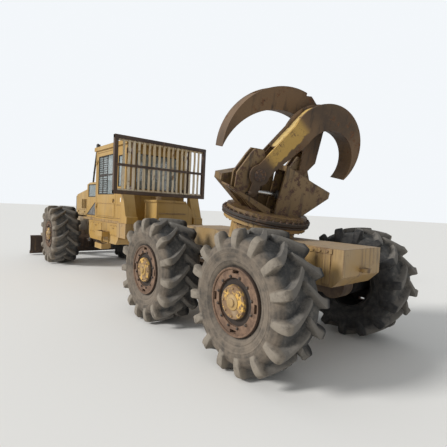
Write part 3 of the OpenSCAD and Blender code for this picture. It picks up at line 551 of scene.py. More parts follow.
def rowNetwork():
    # copies in a row, each pushed and turned a little, then bent between its fixed ends
    net = Network("copies in a row", {
        "Count": ("Int", 10), "Step": ("Vector", (0, 0, 0)), "Push": ("Vector", (0, 0, 0)),
        "Twist": ("Float", 0.0), "Bend": ("Vector", (0, 0, 0)), "Foot": ("Float", 0.0), "Bay": ("Float", 1.0),
        "Seed": ("Int", 1), "Material": ("Material", None)})
    step, push, bend, foot, bay, seed = net.wires("Step", "Push", "Bend", "Foot", "Bay", "Seed")
    nudge = net.node("FunctionNodeRandomValue", {"data_type": "FLOAT_VECTOR"}, {
        0: net.vectors("SCALE", push, -1.0), 1: push, "ID": net.order, "Seed": seed}).outputs[0]
    place = net.vectors("ADD", net.vectors("SCALE", step, net.order), nudge)
    copies = net.copies(place, net.jitter("Twist"))
    real = net.node("GeometryNodeRealizeInstances", {}, {0: copies}).outputs[0]
    # the bend is nothing at the rails, which lie one bay apart, and most between them
    spot = net.node("GeometryNodeInputPosition").outputs[0]
    share = (net.axis(spot, 2) - foot) / bay
    wave = (share * math.pi).maths("SINE").maths("ABSOLUTE")
    cell = net.node("ShaderNodeCombineXYZ", {}, {0: net.axis(spot, 1), 1: share.maths("FLOOR")}).outputs[0]
    chance = net.node("ShaderNodeTexNoise", {}, {"Vector": cell, "Scale": 5.5, "Detail": 1.0}).outputs[1]
    offset = net.vectors("MULTIPLY", net.vectors("SUBTRACT", chance, (0.5, 0.5, 0.5)), bend)
    offset = net.vectors("SCALE", offset, wave)
    bent = net.node("GeometryNodeSetPosition", {}, {"Geometry": real, "Offset": offset})
    return net.finish(bent.outputs[0])


def grown(net, shape, finish, **values):
    # runs a network on a shape and gives back the result as a plain mesh
    seed = placed("seed", meshOf(shape))
    modifier = seed.modifiers.new("nodes", "NODES")
    modifier.node_group = net.tree
    for label, value in dict(values, Material=finishes[finish]).items():
        modifier[net.keys[label]] = value
    settled(seed)
    mesh = seed.data
    bpy.data.objects.remove(seed)
    return mesh


rings, rows = ringNetwork(), rowNetwork()
print("networks built")


def boltHead(radius, height):
    # a hexagon head on its washer, standing up from the origin along Z
    shape, washer, corner, foot = bmesh.new(), radius * 1.45, radius * 1.05, height * 0.22
    addRevolved(shape, [(0.0, 0.0), (washer, 0.0), (washer, foot), (radius, foot)], 16)
    head = [(corner, height * 0.2), (corner, height * 0.85), (radius * 0.85, height), (0.0, height)]
    addRevolved(shape, head, 6)
    return shape


def boltRing(bolts, finish, start=0.0, loose=0.0):
    # bolts standing up along Z round the Z axis, given as count, circle, radius and height
    count, ring, radius, height = bolts
    head = boltHead(radius, height)
    return grown(rings, head, finish, Count=count, Radius=ring, Start=start, Loose=loose, Seed=3)


def boltRow(start, step, count, facing, radius=0.013, height=0.014):
    # bolts in a row, their heads towards a direction
    turn = Vector((0, 0, 1)).rotation_difference(Vector(facing)).to_matrix().to_4x4()
    step = tuple(turn.inverted() @ Vector(step))
    heads = grown(rows, boltHead(radius, height), "dark_steel", Count=count, Step=step)
    return turned(heads, Matrix.Translation(start) @ turn)


def span(side, one, two):
    # two distances from the middle as y on one side, the lower one first
    return sorted((side * one, side * two))


def sideBoxes(side, inner, outer, fromX, areas):
    # blocks on one side between two distances from the middle; an area is x from and to, z from and to
    y = span(side, inner, outer)
    return [((fromX + x0, y[0], z0), (fromX + x1, y[1], z1)) for x0, x1, z0, z1 in areas]


def sideBolts(side, face, fromX, runs, radius=0.013, height=0.014):
    # rows of bolts on one side; a run is x and z of its first bolt, the steps to the next, and how many
    return [boltRow((fromX + x, side * face, z), (stepX, 0, stepZ), count, (0, side, 0), radius, height)
            for x, z, stepX, stepZ, count in runs]


def makePlates(name, boxes, finish, body, fixings=(), bevel=0.003):
    shape = bmesh.new()
    for low, high in boxes:
        addBlock(shape, low, high, bevel)
    return finished(name, joined(shape, *fixings), finish, body)


tyre = {
    "outer": 1.670, "lugs": 15, "sides": 120, "bead": 0.437, "lead": 0.34, "loose": 0.012, "seed": 7,
    "wear": 0.004, "wearFrom": 0.75, "wearOver": 0.2,
    # half of the carcass: share of the width, depth under the lugs' tips in metres
    "crown": [(0.0, 0.086), (0.16, 0.088), (0.28, 0.096), (0.35, 0.113), (0.40, 0.140), (0.435, 0.174),
              (0.460, 0.217), (0.472, 0.262)],
    # and share of the way from the tips to the bead
    "wall": [(0.474, 0.55), (0.467, 0.62), (0.471, 0.635), (0.464, 0.655), (0.452, 0.74), (0.440, 0.82),
             (0.444, 0.835), (0.438, 0.85), (0.415, 0.92), (0.392, 0.965), (0.375, 1.0)],
    # a lug from the crown to its end on the wall: foot as share of the width, top as share and depth,
    # half its thickness
    "lug": [(-0.035, -0.030, 0.012, 0.034), (-0.02, -0.022, 0.002, 0.042), (0.04, 0.04, 0.0, 0.045),
            (0.10, 0.10, 0.0, 0.048), (0.16, 0.16, 0.0, 0.051), (0.22, 0.22, 0.0, 0.055),
            (0.28, 0.28, 0.001, 0.059), (0.33, 0.335, 0.002, 0.063), (0.37, 0.39, 0.004, 0.065),
            (0.400, 0.436, 0.010, 0.065), (0.425, 0.468, 0.032, 0.064), (0.442, 0.488, 0.062, 0.063),
            (0.453, 0.497, 0.100, 0.062), (0.461, 0.4995, 0.150, 0.060), (0.466, 0.4985, 0.195, 0.057),
            (0.470, 0.492, 0.228, 0.050), (0.472, 0.479, 0.252, 0.040)],
    # half of a lug's section: rise from foot to top, spread of its half thickness, and the lug attribute
    "section": [(-0.12, 0.040, 0.0), (0.10, 0.016, 0.2), (0.36, 0.005, 0.7), (0.86, -0.003, 0.9),
                (1.0, -0.016, 1.0)],
}


def carcass(radius, width):
    # smooth half outline from the crown's middle to the bead, as (y, r)
    deep = radius - tyre["bead"]
    points = [(y * width, radius - d) for y, d in tyre["crown"]]
    points = np.array(points + [(y * width, radius - t * deep) for y, t in tyre["wall"]])
    ahead = np.vstack([[-points[1][0], points[1][1]], points, 2 * points[-1] - points[-2]])
    fine = []
    for i in range(1, len(ahead) - 2):
        a, b, c, d = ahead[i - 1:i + 3]
        for t in np.linspace(0, 1, 3, endpoint=False):
            bent = (2 * a - 5 * b + 4 * c - d) * t * t + (3 * b - a - 3 * c + d) * t ** 3
            fine.append(0.5 * ((2 * b) + (c - a) * t + bent))
    return np.array(fine + [points[-1]])


def lugShape(radius, width, mirror):
    # one lug, its foot drawn out into the carcass and its top's edges broken
    shape = bmesh.new()
    lifted = shape.verts.layers.float.new("lug")
    section = [(rise, -1, spread, mark) for rise, spread, mark in tyre["section"]]
    section += [(rise, 1, spread, mark) for rise, spread, mark in tyre["section"][::-1]]
    crown = np.array(tyre["crown"])
    loops = []
    for foot, top, depth, half in tyre["lug"]:
        low = np.array([foot * width, radius - np.interp(abs(foot), crown[:, 0], crown[:, 1])])
        high = np.array([top * width, radius - depth])
        lead = tyre["lead"] * width * min(1.0, max(0.0, (0.36 - foot) / 0.39)) ** 1.25
        loops.append([])
        for rise, hand, spread, mark in section:
            y, r = low + (high - low) * rise
            angle = (lead + hand * (half + spread)) / radius
            vert = shape.verts.new((r * math.cos(angle), r * math.sin(angle), -y if mirror else y))
            vert[lifted] = mark
            loops[-1].append(vert)
    addSkin(shape, loops)
    return shape


def makeTyre(axle, side, hand):
    name = f"luggedTyre_{axle}_{hand}"
    radius, width = axles[axle]["radius"], axles[axle]["width"]
    half = carcass(radius, width)
    outline = [(r, -y) for y, r in half[::-1]] + [(r, y) for y, r in half[1:]]
    bead, inside = tyre["bead"] + 0.004, tyre["bead"] + 0.08
    outline += [(bead, 0.33 * width), (inside, 0.27 * width), (inside, -0.27 * width), (bead, -0.33 * width)]
    casing = bmesh.new()
    casing.verts.layers.float.new("lug")
    addRevolved(casing, outline, tyre["sides"], closed=True)
    shapes = [casing]
    for mirror, start, seed in ((False, 0.0, 0), (True, math.pi / tyre["lugs"], 50)):
        lug = lugShape(radius, width, mirror)
        shapes.append(grown(rings, lug, "tyre_rubber", Count=tyre["lugs"], Start=start, Loose=tyre["loose"],
                            Seed=tyre["seed"] + seed + len(name)))
    mesh = joined(*shapes)
    place = np.empty(len(mesh.vertices) * 3)
    mesh.vertices.foreach_get("co", place)
    # the shape turns about Z, the wheel about Y with its lugs leading at the crown
    local = np.roll(place.reshape(-1, 3), -1, axis=1)
    across = np.hypot(local[:, 0], local[:, 2])
    around = np.arctan2(local[:, 0], local[:, 2])
    worn = tyre["wear"] * (np.sin(around * 7 + side) * np.cos(around * 3 + local[:, 1] * 9) - 1.0)
    worn *= np.clip((across - tyre["wearFrom"]) / tyre["wearOver"], 0, 1)
    local[:, 0] += np.sin(around) * worn
    local[:, 2] += np.cos(around) * worn
    spot = mesh.attributes.new("wheelPlace", "FLOAT_VECTOR", "POINT")
    spot.data.foreach_set("vector", local.astype(np.float32).ravel())
    centre = (axles[axle]["x"], side * (tyre["outer"] - width / 2), radius)
    mesh.vertices.foreach_set("co", (local * (1, side, 1) + centre).astype(np.float32).ravel())
    mesh.update()
    if side < 0:
        mesh.flip_normals()
    piece = finished(name, mesh, "tyre_rubber", f"wheel_{axle}_{hand}", sharp=40)
    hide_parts(f"tyre_{axle}_{hand}")


for axle in axles:
    for side, hand in hands:
        makeTyre(axle, side, hand)
print("tyres made")

# disc and cap are depths in from the tyre's outer face
wheelFitting = {
    "disc": 0.070, "bolts": (12, 0.318, 0.016, 0.020), "firstBolt": 15,
    "cap": 0.040, "capBolts": (8, 0.172, 0.012, 0.016),
    "boss": [(0.0, -0.004), (0.1045, -0.004), (0.099, 0.010), (0.0605, 0.014), (0.055, 0.018),
             (0.05225, 0.030), (0.0275, 0.034), (0.0, 0.034)],
    "lip": [(0.404, -0.01), (0.404, 0.010), (0.414, 0.018), (0.428, 0.018), (0.433, 0.008), (0.433, -0.01)],
}


def makeWheelFittings(axle, side, hand):
    w, size, body = wheelFitting, axles[axle], f"wheel_{axle}_{hand}"

    def at(depth):
        # a frame whose Z points out of the wheel
        place = Matrix.Translation((size["x"], side * (tyre["outer"] - depth), size["radius"]))
        return place @ Matrix.Rotation(-side * math.pi / 2, 4, "X")
    bolts = boltRing(w["bolts"], "dark_steel", start=math.radians(w["firstBolt"]))
    finished(f"rimBolts_{axle}_{hand}", turned(bolts, at(w["disc"])), "dark_steel", body)
    boss, lip = bmesh.new(), bmesh.new()
    addRevolved(boss, w["boss"], 40)
    cap = joined(boss, boltRing(w["capBolts"], "hub_cap"))
    finished(f"hubCap_{axle}_{hand}", turned(cap, at(w["cap"])), "hub_cap", body)
    addRevolved(lip, w["lip"], 72, closed=True)
    finished(f"rimLip_{axle}_{hand}", turned(lip, at(w["disc"])), "rim_" + axle, body)


for axle in axles:
    for side, hand in hands:
        makeWheelFittings(axle, side, hand)
print("wheel fittings made")

# struts lie so far above the guard's foot and below its top; strips likewise from the rails and the centre
guard = {"rear": 4.66 - middle, "deep": 0.10, "half": 1.305, "low": 2.29, "high": 3.67, "rail": 0.09,
         "midRail": 0.062, "midDeep": (0.004, 0.022), "posts": (-0.83, 0.75), "post": 0.08, "postAt": 0.055,
         "postShort": 0.04, "struts": (0.12, 0.33), "strut": 0.08, "pad": 0.03, "padDeep": 0.018,
         "slats": 17, "slatWidth": 0.066, "slatThick": 0.012, "slatAt": 0.030, "slatSteps": 34,
         "slatEase": (0.003, 0.002), "slatFrom": 0.7, "stripAt": 0.040, "strip": 0.055, "stripDeep": 0.010,
         "strips": (0.040, 0.015, 0.030), "stripShort": 0.06,
         "bend": (0.040, 0.075, 0.0), "lean": (0.0, 0.008, 0.0), "twist": 0.10, "seed": 11}


def makeGuard():
    g = guard
    x0, x1, half, rail = g["rear"], g["rear"] + g["deep"], g["half"], g["rail"]
    centre, ease = (g["low"] + g["high"]) / 2, g["slatEase"]
    shape, pad = bmesh.new(), g["pad"]
    for z in (g["low"], g["high"] - rail):
        addBlock(shape, (x0, -half, z), (x1, half, z + rail), 0.006)
    for y in (-half, half - rail):
        addBlock(shape, (x0 + 0.002, y, g["low"] + 0.004), (x1 - 0.002, y + rail, g["high"] - 0.004), 0.006)
    addBlock(shape, (x0 + g["midDeep"][0], 0.01 - half, centre - g["midRail"] / 2),
             (x0 + g["midDeep"][1], half - 0.01, centre + g["midRail"] / 2), 0.003)
    for y in g["posts"]:
        # a post, and two struts from it to their pads on the cab
        addBlock(shape, (x0 + g["postAt"], y, g["low"] + g["postShort"]),
                 (x1, y + g["post"], g["high"] - g["postShort"]), 0.005)
        for z in (g["low"] + g["struts"][0], g["high"] - g["struts"][1]):
            end, top = y + g["post"], z + g["strut"]
            addBlock(shape, (x1 - 0.004, y + 0.004, z), (cab["rear"], end - 0.004, top), 0.005)
            addBlock(shape, (cab["rear"] - g["padDeep"], y - pad, z - pad),
                     (cab["rear"], end + pad, top + pad), 0.004)
    piece = finished("guardFrame", shape, "guard_steel", "front_frame")
    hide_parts("guard")
    # slats between the rails, from a short way inside each, and the strips that they are welded to
    pitch = 2 * (half - rail) / (g["slats"] + 1)
    low, high = g["low"] + rail * g["slatFrom"], g["high"] - rail * g["slatFrom"]
    w, t = g["slatWidth"] / 2, g["slatThick"] / 2
    corners = [(-t, ease[1] - w), (-t, w - ease[1]), (ease[0] - t, w), (t - ease[0], w),
               (t, w - ease[1]), (t, ease[1] - w), (t - ease[0], -w), (ease[0] - t, -w)]
    slat = bmesh.new()
    heights = [low + (high - low) * i / g["slatSteps"] for i in range(g["slatSteps"] + 1)]
    addSkin(slat, [[slat.verts.new((x, y, z)) for x, y in corners] for z in heights])
    slats = grown(rows, slat, "slat_steel", Count=g["slats"], Step=(0.0, pitch, 0.0), Push=g["lean"],
                  Twist=g["twist"], Bend=g["bend"], Foot=low, Bay=(high - low) / 2, Seed=g["seed"])
    slats = turned(slats, Matrix.Translation((x0 + g["slatAt"], rail + pitch - half, 0.0)))
    strips, x = bmesh.new(), x0 + g["stripAt"]
    for edge, under in zip((g["high"] - rail, g["low"] + rail, centre), g["strips"]):
        z, reach = edge - under, half - g["stripShort"]
        addBlock(strips, (x, -reach, z), (x + g["stripDeep"], reach, z + g["strip"]), 0.002)
    finished("guardSlats", joined(slats, strips), "slat_steel", "front_frame")


makeGuard()
print("guard made")

turntable = {"x": 1.050 - middle, "top": 2.030, "radius": 0.775, "lean": 13.0, "swing": -18.0,
             "bolts": (40, 0.737, 0.017, 0.024), "loose": 0.004,
             "flange": 0.1653, "flangeBolts": (32, 0.690, 0.015, 0.022),
             # the grooved edge: how far in from the radius, and height
             "edge": [(0.010, 0.0), (0.0, -0.008), (0.0, -0.046), (0.006, -0.050), (0.030, -0.052),
                      (0.034, -0.060), (0.030, -0.066), (0.012, -0.068), (0.008, -0.074), (0.008, -0.093),
                      (0.016, -0.100)]}
ringPlace = (Matrix.Translation((turntable["x"], 0.0, turntable["top"]))
             @ Matrix.Rotation(math.radians(-turntable["lean"]), 4, "Y"))
bunkPlace = ringPlace @ Matrix.Rotation(math.radians(turntable["swing"]), 4, "Z")


def makeTurntable():
    t = turntable
    ring = bmesh.new()
    edge = [(t["radius"] - inwards, z) for inwards, z in t["edge"]]
    addRevolved(ring, [(0.0, edge[0][1])] + edge + [(0.0, edge[-1][1])], 144)
    piece = finished("groovedRing", turned(ring, ringPlace), "ring_steel", "bunk", sharp=25)
    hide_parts("turntable_ring")
    top = boltRing(t["bolts"], "guard_steel", loose=t["loose"])
    finished("ringBolts", turned(top, ringPlace), "guard_steel", "bunk")
    under = ringPlace @ Matrix.Translation((0.0, 0.0, -t["flange"])) @ Matrix.Rotation(math.pi, 4, "X")
    low = boltRing(t["flangeBolts"], "guard_steel")
    finished("flangeBolts", turned(low, under), "guard_steel", "rear_frame")


makeTurntable()
print("turntable made")

pane = {"thick": 0.008, "seal": 0.018, "sealDeep": 0.040}


def addPane(glass, seal, low, high, axis):
    # a pane that fills an opening and the rubber round its edge; axis is the one it faces along
    def slab(deep):
        first, second = list(low), list(high)
        first[axis] = (low[axis] + high[axis] - deep) / 2
        second[axis] = first[axis] + deep
        return first, second
    addBlock(glass, *slab(pane["thick"]))
    for i in range(3):
        if i != axis:
            foot, head = slab(pane["sealDeep"]), slab(pane["sealDeep"])
            foot[1][i], head[0][i] = low[i] + pane["seal"], high[i] - pane["seal"]
            addBlock(seal, *foot, 0.004)
            addBlock(seal, *head, 0.004)


def makeGlazing(paneName, sealName, body, openings):
    glass, seal = bmesh.new(), bmesh.new()
    for low, high, axis in openings:
        addPane(glass, seal, low, high, axis)
    finished(paneName, glass, "glass", body)
    finished(sealName, seal, "seal", body)


# the door's window in its doorway, and what stands in front of its pane
doorGlass = {"rear": doorway["rear"] + 0.11, "front": doorway["front"] - 0.11,
             "low": doorway["foot"] + 0.64, "high": doorway["top"] - 0.10}
doorGrille = {"from": 0.52, "to": 1.18, "bars": 18, "bar": 0.007, "barIn": 0.008, "inset": 0.03,
              "uprights": 3, "upright": 0.0091, "uprightIn": 0.010,
              "rail": 0.018, "railFrom": 0.112, "railIn": (0.018, 0.004)}
doorLatch = {"x": 0.075, "long": 0.09, "z": 0.455, "tall": 0.027, "in": (0.024, 0.008),
             "button": 0.014, "buttonAt": (0.085, 0.015), "buttonIn": (0.024, 0.004)}
doorRibs = {"side": 0.05, "low": 0.03, "high": 0.38, "wide": 0.02, "in": 0.001, "out": 0.006}


def makePanes():
    side, wall, deck, top = cab["side"], cab["wall"], cab["deck"], cab["top"]
    openings = [((cab["rear"], -0.60, deck + 0.85), (cab["rear"] + wall, 0.60, top - 0.20), 0),
                ((cab["front"] - wall, -0.68, deck + 1.14), (cab["front"], 0.68, top - 0.13), 0)]
    rear, front, d = cab["rear"] + 0.12, doorway["rear"] - 0.13, doorGlass
    walls = {hand: span(way, side, side - wall) for way, hand in hands}
    openings += [((rear, y[0], deck + 0.90), (front, y[1], top - 0.25), 1) for y in walls.values()]
    makeGlazing("cabPanes", "cabSeals", "front_frame", openings)
    for hand, y in walls.items():
        opening = ((d["rear"], y[0], d["low"]), (d["front"], y[1], d["high"]), 1)
        makeGlazing("doorPane_" + hand, "doorSeal_" + hand, "door_" + hand, [opening])


def makeDoorFittings(side, hand):
    # guard bars over the window's front part, a middle rail, the handle and the ribs of the lower panel
    face, body = cab["side"], "door_" + hand
    low, high, rear, foot = doorGlass["low"], doorGlass["high"], doorway["rear"], doorway["foot"]
    g, d = doorGrille, doorLatch
    start, end = doorGlass["rear"] + g["from"], doorGlass["rear"] + g["to"]
    bar, y = bmesh.new(), side * (face - g["barIn"])
    addTube(bar, [(x, y, low + g["inset"]) for x in (start, end)], g["bar"], 8)
    pitch = (high - low - 2 * g["inset"]) / (g["bars"] - 1)
    across = grown(rows, bar, "dark_steel", Count=g["bars"], Step=(0.0, 0.0, pitch),
                   Push=(0.0, 0.0, 0.001), Seed=5)
    rest, y = bmesh.new(), side * (face - g["uprightIn"])
    for i in range(g["uprights"]):
        x = start + (end - start) * i / (g["uprights"] - 1)
        addTube(rest, [(x, y, low + 0.004), (x, y, high - 0.004)], g["upright"], 8)
    y, z = span(side, *(face - depth for depth in g["railIn"])), (low + high) / 2
    addBlock(rest, (rear + g["railFrom"], y[0], z - g["rail"]), (end, y[1], z + g["rail"]), 0.003)
    finished("doorBars_" + hand, joined(across, rest), "dark_steel", body)
    latch, y = bmesh.new(), span(side, *(face - depth for depth in d["in"]))
    x, z = rear + d["x"], foot + d["z"]
    addBlock(latch, (x, y[0], z), (x + d["long"], y[1], z + d["tall"]), 0.006)
    button = [(x + d["buttonAt"][0], side * (face - depth), z + d["buttonAt"][1]) for depth in d["buttonIn"]]
    addTube(latch, button, d["button"], 16)
    finished("doorHandle_" + hand, latch, "dark_steel", body)
    wide = doorRibs["wide"]
    x0, x1 = doorRibs["side"], doorway["front"] - rear - doorRibs["side"]
    z0, z1 = foot + doorRibs["low"], foot + doorRibs["high"]
    areas = [(x0, x1, z0, z0 + wide), (x0, x1, z1, z1 + wide),
             (x0, x0 + wide, z0, z1 + wide), (x1 - wide, x1, z0, z1 + wide)]
    boxes = sideBoxes(side, face - doorRibs["in"], face + doorRibs["out"], rear, areas)
    makePlates("doorRibs_" + hand, boxes, "yellow_paint", body, bevel=0.0025)


makePanes()
for side, hand in hands:
    makeDoorFittings(side, hand)
print("cab glass and doors made")

floorZ = cab["deck"] + cab["wall"]
seat = {"rear": cab["rear"] + 0.52, "front": cab["rear"] + 1.02, "half": 0.262, "crown": 0.022, "fill": 0.7,
        "square": 5.0, "channels": 1.5, "cuts": 9}


def makeCushion(name, low, high, face):
    # a closed pad with rounded sides, a crowned face along one axis and sewn channels
    shape = bmesh.new()
    addBlock(shape, low, high)
    bmesh.ops.subdivide_edges(shape, edges=shape.edges[:], cuts=seat["cuts"], use_grid_fill=True)
    low, high = Vector(low), Vector(high)
    centre, half = (low + high) / 2, (high - low) / 2
    across, along = (i for i in range(3) if i != face)
    for vert in shape.verts:
        share = Vector(((vert.co[i] - centre[i]) / half[i] for i in range(3)))
        norm = sum(abs(value) ** seat["square"] for value in share) ** (1 / seat["square"])
        share *= max(abs(value) for value in share) / norm
        vert.co = [centre[i] + share[i] * half[i] for i in range(3)]
        if abs(share[face]) > 0.3:
            swell = (1 - share[across] ** 2) * (1 - share[along] ** 2)
            channel = min(1.0, 2.2 * abs(math.sin(share[along] * math.pi * seat["channels"])))
            vert.co[face] += math.copysign(swell * seat["crown"] * (0.55 + 0.45 * channel), share[face])
    piece = finished(name, shape, "seat_vinyl", "front_frame", sharp=60)
    smooth = piece.modifiers.new("smooth", "SUBSURF")
    smooth.levels = smooth.render_levels = 1
    settled(piece)


makeCushion("seatCushion", (seat["rear"] + 0.03, -seat["half"], floorZ + 0.482),
            (seat["front"] - 0.01, seat["half"], floorZ + 0.560), 2)
makeCushion("backCushion", (seat["rear"] + 0.002, 0.01 - seat["half"], floorZ + 0.60),
            (seat["rear"] + 0.082, seat["half"] - 0.01, floorZ + 1.04), 0)

controls = {"hub": (cab["front"] - 0.50, 0.0, floorZ + 0.90), "lean": -28, "wheel": 0.20, "grip": 0.014,
            "spokes": (0, 2.1, 4.2), "spoke": 0.010, "column": 0.028, "columnLong": 0.22, "levers": 3,
            "lever": (cab["front"] - 0.36, -0.20, floorZ + 0.775), "leverGap": 0.07, "pedals": (-0.16, 0.16),
            "pedal": (cab["front"] - 0.50, cab["front"] - 0.41, floorZ + 0.02, floorZ + 0.05),
            "leverLine": [(0, 0, 0), (-0.02, 0, 0.12), (-0.03, 0, 0.20)], "leverThick": 0.007,
            "knobLine": [(-0.029, 0, 0.19), (-0.036, 0, 0.25)], "knob": 0.016}


def makeControls():
    c = controls
    lean = Matrix.Translation(c["hub"]) @ Matrix.Rotation(math.radians(c["lean"]), 4, "Y")
    shape = bmesh.new()

    def onWheel(angle):
        return lean @ Vector((c["wheel"] * math.cos(angle), c["wheel"] * math.sin(angle), 0))
    addTube(shape, [onWheel(math.tau * i / 40) for i in range(40)], c["grip"], 10, closed=True)
    for angle in c["spokes"]:
        addTube(shape, [lean @ Vector((0, 0, -0.02)), onWheel(angle)], c["spoke"], 8)
    addTube(shape, [lean @ Vector((0, 0, 0.02)), lean @ Vector((0, 0, -c["columnLong"]))], c["column"], 16)
    for i in range(c["levers"]):
        foot = Vector(c["lever"]) - Vector((0, i * c["leverGap"], 0))
        addTube(shape, [foot + Vector(away) for away in c["leverLine"]], c["leverThick"], 8)
        addTube(shape, [foot + Vector(away) for away in c["knobLine"]], c["knob"], 12)
    x0, x1, z0, z1 = c["pedal"]
    for y in c["pedals"]:
        addBlock(shape, (x0, y - 0.05, z0), (x1, y + 0.05, z1), 0.006)
    finished("cabControls", shape, "seal", "front_frame")


makeControls()
print("seat and controls made")

# in each arm's own frame: x across it, from and to its two faces
armSize = {"from": -0.380, "to": -0.040, "rib": 0.045, "deep": 0.045, "over": 0.08, "plate": 0.006,
           "bead": 0.008, "hinge": (0.460, 0.640), "cap": 0.098, "capBolts": (6, 0.07056, 0.012, 0.014)}
# the back of each arm, from its foot: points of the stem, then the hook's circle as centre, radius and
# two angles in degrees
armBacks = {
    "near": {"stem": [(0.480, 0.837), (0.262, 1.146), (0.031, 1.473), (-0.130, 1.701)],
             "circle": (-0.630, 1.260, 0.690, 53, 128), "turn": 0.0, "steel": "near_arm_steel"},
    "far": {"stem": [(0.668, 0.822), (0.775, 0.962), (0.794, 1.200), (0.797, 1.500), (0.735, 1.676),
                     (0.620, 1.880), (0.500, 1.973), (0.400, 2.050)],
            "circle": (0.060, 1.040, 1.070, 78, 128), "turn": math.pi, "steel": "arm_steel"},
}


def armPath(back):
    x, z, r, first, last = back["circle"]
    turns = [math.radians(first + (last - first) * i / 14) for i in range(15)]
    hook = [(x + r * math.cos(a), z + r * math.sin(a)) for a in turns]
    return [Vector(point) for point in back["stem"] + hook]


def besidePath(path, out):
    # the path moved outwards, square to its own direction
    moved = []
    for i, point in enumerate(path):
        along = (path[min(i + 1, len(path) - 1)] - path[max(i - 1, 0)]).normalized()
        moved.append(point + out * Vector((along.y, -along.x)))
    return moved


def ribbon(path, inner, outer, x0, x1):
    # a band beside the path in the arm's side view, from x0 to x1
    shape = bmesh.new()
    pairs = zip(besidePath(path, inner), besidePath(path, outer))
    addSkin(shape, [[shape.verts.new((x, p.x, p.y)) for x, p in ((x0, a), (x1, a), (x1, b), (x0, b))]
                    for a, b in pairs])
    return shape


def makeArm(name):
    back, node, deep = armBacks[name], "arm_" + name, armSize["deep"]
    place = bunkPlace @ Matrix.Rotation(back["turn"], 4, "Z")
    path = armPath(back)
    x0, x1 = armSize["from"] + armSize["rib"], armSize["to"] - armSize["rib"]
    # the CAD arm with a recess cut into its back between the ribs
    cutter = placed("cutter", turned(ribbon(path, -deep, armSize["over"], x0, x1), place))
    copy = nodes[node].data.copy()
    copy.transform(nodes[node].matrix_world)
    piece = finished("armBody_" + name, copy, back["steel"], node)
    cut = piece.modifiers.new("recess", "BOOLEAN")
    cut.operation, cut.solver, cut.object = "DIFFERENCE", "EXACT", cutter
    settled(piece)
    bpy.data.objects.remove(cutter)
    painted(piece.data, back["steel"])
    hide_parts(node)
    plate = ribbon(path[1:-1], -deep, armSize["plate"] - deep, x0 + 0.004, x1 - 0.004)
    finished("armPlate_" + name, turned(plate, place), "worn_paint", node)
    # a rippled weld bead on each side of the plate
    beads = bmesh.new()
    level = besidePath(path, armSize["plate"] * 0.4 - deep)
    for x in (x0 + 0.002, x1 - 0.002):
        points = [(x, *one.lerp(two, k / 4)) for one, two in zip(level, level[1:]) for k in range(4)]
        addTube(beads, points, armSize["bead"], 8)
    for vert in beads.verts:
        vert.co.z += 0.0014 * math.sin(vert.co.z * 410.0)
    finished("armWelds_" + name, turned(beads, place), "arm_steel", node, sharp=70)
    r, caps = armSize["cap"], []
    for x, side, tall in ((armSize["from"], -1, 0.020), (armSize["to"], 1, 0.010)):
        cap = bmesh.new()
        addRevolved(cap, [(0.0, -0.002), (r, -0.002), (r, tall * 0.75), (r - 0.006, tall), (r * 0.45, tall),
                          (r * 0.42, tall * 0.8), (0.0, tall * 0.8)], 48)
        if side < 0:
            bolts = boltRing(armSize["capBolts"], "pin_steel")
            cap = joined(cap, turned(bolts, Matrix.Translation((0, 0, tall))))
        at = Matrix.Translation((x, *armSize["hinge"])) @ Matrix.Rotation(side * math.pi / 2, 4, "Y")
        caps.append(turned(cap, at))
    finished("armCaps_" + name, turned(joined(*caps), place), "guard_steel", node)


for name in armBacks:
    makeArm(name)
print("arms dressed")

# pads over the bogie's carrier, along the belly and round the tail; x is counted from the rear axle
rearPads = {"side": 0.480, "thick": 0.012,
            "pads": [(0.55, 1.85, 1.125, 1.215), (0.62, 0.74, 1.215, 1.545), (1.66, 1.78, 1.215, 1.545),
                     (-0.62, 0.45, 1.535, 1.600), (-0.60, -0.48, 1.13, 1.535)],
            "runs": [(0.62, 1.17, 0.115, 0, 11), (0.68, 1.27, 0, 0.075, 4), (1.72, 1.27, 0, 0.075, 4),
                     (-0.55, 1.568, 0.11, 0, 9)]}


def makeRearPads():
    face = rearPads["side"] + rearPads["thick"]
    boxes, bolts = [], []
    for side in (1, -1):
        boxes += sideBoxes(side, rearPads["side"] - 0.002, face, axles["rear"]["x"], rearPads["pads"])
        bolts += sideBolts(side, face, axles["rear"]["x"], rearPads["runs"])
    makePlates("rearPlates", boxes, "dusty_paint", "rear_frame", bolts)


# a row of bolts is y of the first and the step to the next; a strap is z from and to and its bolts' z
tank = {"rear": 4.050 - middle, "lid": 2.190, "filler": (0.30, 0.30), "lidBolts": (0.05, 0.55),
        "lidRow": (-0.20, 0.145), "straps": ((1.66, 1.69, 1.675), (1.86, 1.885, 1.872)),
        "strapSides": (-0.30, 0.44), "strapDeep": 0.012, "strapRow": (-0.25, 0.16),
        "neck": [(0.0, -0.004), (0.075, -0.004), (0.075, 0.012), (0.058, 0.016), (0.056, 0.050),
                 (0.066, 0.052), (0.066, 0.074), (0.050, 0.082), (0.0, 0.082)]}


def makeTankFittings():
    t, neck, rear = tank, bmesh.new(), tank["rear"]
    addRevolved(neck, t["neck"], 32)
    neck = turned(neck, Matrix.Translation((rear + t["filler"][0], t["filler"][1], t["lid"])))
    y, step = t["lidRow"]
    lid = [boltRow((rear + x, y, t["lid"]), (0, step, 0), 5, (0, 0, 1), 0.010, 0.010) for x in t["lidBolts"]]
    finished("tankFittings", joined(neck, *lid), "dusty_paint", "front_frame")
    back, sides = rear - t["strapDeep"], t["strapSides"]
    boxes = [((back, sides[0], low), (rear + 0.002, sides[1], high)) for low, high, z in t["straps"]]
    y, step = t["strapRow"]
    bolts = [boltRow((back, y, z), (0, step, 0), 5, (-1, 0, 0), 0.009, 0.009) for low, high, z in t["straps"]]
    makePlates("tankStraps", boxes, "dusty_paint", "front_frame", bolts)


